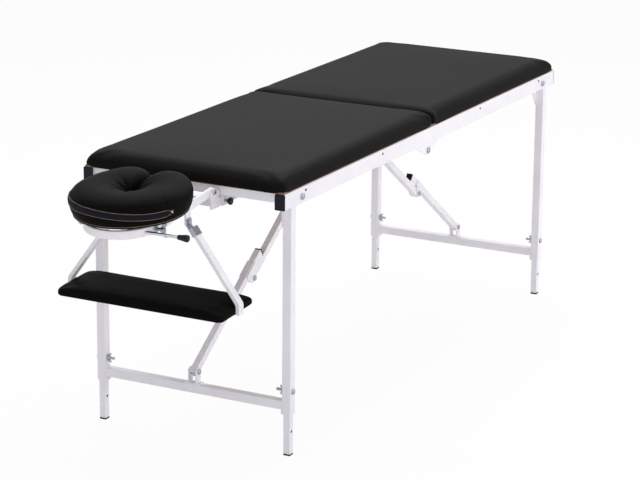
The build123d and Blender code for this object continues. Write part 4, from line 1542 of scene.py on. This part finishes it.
@dataclass
class Studio:
    """The pale floor, the soft lamps and the camera at the photograph's angle.

    The camera's place is in metres and its angles are in degrees, all worked out from the
    corners of the table.
    """

    behind_head_end: float = 5.33317
    nearer: float = 3.21424
    above_floor: float = 2.34770
    yaw: float = 27.70
    pitch: float = -15.89
    roll: float = 0.54
    focal_share: float = 2426.03 / 640
    sensor: float = 36.0
    far_clip: float = 60.0
    floor_reach: float = 14.0
    room_strength: float = 0.48
    paper_white: float = 0.95

    def build(self) -> None:
        """Builds the whole studio."""
        bpy.context.scene.view_settings.view_transform = "Standard"
        self.set_camera()
        self.set_world()
        self.set_floor()
        self.lamp("overhead", (1.6, 0.6, 3.6), (0.3, 0.0, 0.7), 3.2, 105.0)
        self.lamp("near_side", (0.6, -4.4, 2.0), (0.2, 0.0, 0.5), 2.6, 80.0)
        self.lamp("head_end_low", (-4.4, -1.1, 0.95), (0.3, 0.0, 0.5), 1.7, 31.0)

    def set_camera(self) -> None:
        """Puts the camera where the photograph was taken from."""
        data = bpy.data.cameras.new("camera")
        data.sensor_width = self.sensor
        data.sensor_fit = "HORIZONTAL"
        data.lens = self.focal_share * self.sensor
        data.clip_end = self.far_clip
        camera = bpy.data.objects.new("camera", data)
        bpy.context.scene.collection.objects.link(camera)
        bpy.context.scene.camera = camera
        yaw = math.radians(self.yaw)
        pitch = math.radians(self.pitch)
        level = Vector((math.cos(yaw), math.sin(yaw), 0.0))
        forward = level * math.cos(pitch) + Vector((0.0, 0.0, math.sin(pitch)))
        turn = Matrix.Rotation(-math.radians(self.roll), 3, forward)
        right = turn @ Vector((math.sin(yaw), -math.cos(yaw), 0.0))
        axes = Matrix((right, right.cross(forward), -forward)).transposed().to_4x4()
        place = Vector((HEAD_END - self.behind_head_end, -self.nearer, self.above_floor))
        camera.matrix_world = Matrix.Translation(place) @ axes

    def seen(self, tree: Tree) -> Socket:
        """Tells the rays that see the backdrop from those that it lights.

        Args:
            tree: the node tree of a material or world.

        Returns:
            The socket that is 1 for camera, glossy and transmission rays.
        """
        rays = add_node(tree, "ShaderNodeLightPath").outputs
        value = rays["Is Camera Ray"]
        for ray in ("Is Glossy Ray", "Is Transmission Ray"):
            both = add_node(tree, "ShaderNodeMath", {0: value, 1: rays[ray]}, operation="MAXIMUM")
            value = both.outputs[0]
        return value

    def set_world(self) -> None:
        """Lights the table evenly, and shows plain white behind it."""
        world = bpy.data.worlds.new("studio")
        world.use_nodes = True
        tree = world.node_tree
        tree.nodes.clear()
        light = {"Color": linear("F4F3F8"), "Strength": self.room_strength}
        room = add_node(tree, "ShaderNodeBackground", light)
        white = {"Color": linear("FFFFFF"), "Strength": 1.0}
        backdrop = add_node(tree, "ShaderNodeBackground", white)
        sides = {0: self.seen(tree), 1: room.outputs[0], 2: backdrop.outputs[0]}
        both = add_node(tree, "ShaderNodeMixShader", sides)
        add_node(tree, "ShaderNodeOutputWorld", {"Surface": both.outputs[0]})
        bpy.context.scene.world = world

    def set_floor(self) -> None:
        """Lays a white floor that keeps only a faint shadow."""
        mesh = bmesh.new()
        bmesh.ops.create_grid(mesh, x_segments=1, y_segments=1, size=self.floor_reach)
        floor = loose_piece(mesh, "studio_floor")
        material = bpy.data.materials.new("seamless_paper")
        material.use_nodes = True
        tree = material.node_tree
        tree.nodes.clear()
        paper = add_node(tree, "ShaderNodeBsdfDiffuse", {"Color": linear("F0F0F2")})
        white = {"Color": linear("FFFFFF"), "Strength": 1.0}
        glow = add_node(tree, "ShaderNodeEmission", white)
        values = {0: self.seen(tree), 1: self.paper_white}
        share = add_node(tree, "ShaderNodeMath", values, operation="MULTIPLY")
        sides = {0: share.outputs[0], 1: paper.outputs[0], 2: glow.outputs[0]}
        both = add_node(tree, "ShaderNodeMixShader", sides)
        add_node(tree, "ShaderNodeOutputMaterial", {"Surface": both.outputs[0]})
        floor.data.materials.append(material)

    def lamp(
        self, name: str, place: Sequence[float], aim: Sequence[float], size: float, power: float,
    ) -> None:
        """Hangs one square soft lamp.

        Args:
            name: the lamp's name.
            place: where it hangs, in metres.
            aim: the point that it faces.
            size: the length of its side.
            power: its power in watts.
        """
        data = bpy.data.lights.new(name, "AREA")
        data.shape = "SQUARE"
        data.size = size
        data.energy = power
        light = bpy.data.objects.new(name, data)
        bpy.context.scene.collection.objects.link(light)
        turn = (Vector(aim) - Vector(place)).to_track_quat("-Z", "Y").to_matrix().to_4x4()
        light.matrix_world = Matrix.Translation(Vector(place)) @ turn


def main() -> None:
    """Builds the studio and every sub-assembly of the table, in order."""
    logging.basicConfig(level=logging.INFO, format="%(name)s: %(message)s")
    Studio().build()
    workshop = Workshop()
    workshop.dress_nodes()
    for end in End:
        TopCushion(end).build(workshop)
    FaceRing().build(workshop)
    ArmShelf().build(workshop)
    for end in End:
        for side in Side:
            WingNut(f"wing_nut_{side.value}_{end.value}", -side.way).build(workshop)
    WingNut("clamp_wing_nut", -1).build(workshop)
    SmallCaps().build(workshop)
    for end in End:
        BracePlug(end).build(workshop)
    TurnedKnob("clamp_knob", -1, CLAMP_KNOB, 31.0).build(workshop)
    for side in Side:
        TurnedKnob(f"socket_knob_{side.value}", side.way, SOCKET_KNOB, 12.0).build(workshop)
        ThreadedStud(side).build(workshop)


if __name__ == "__main__":
    main()
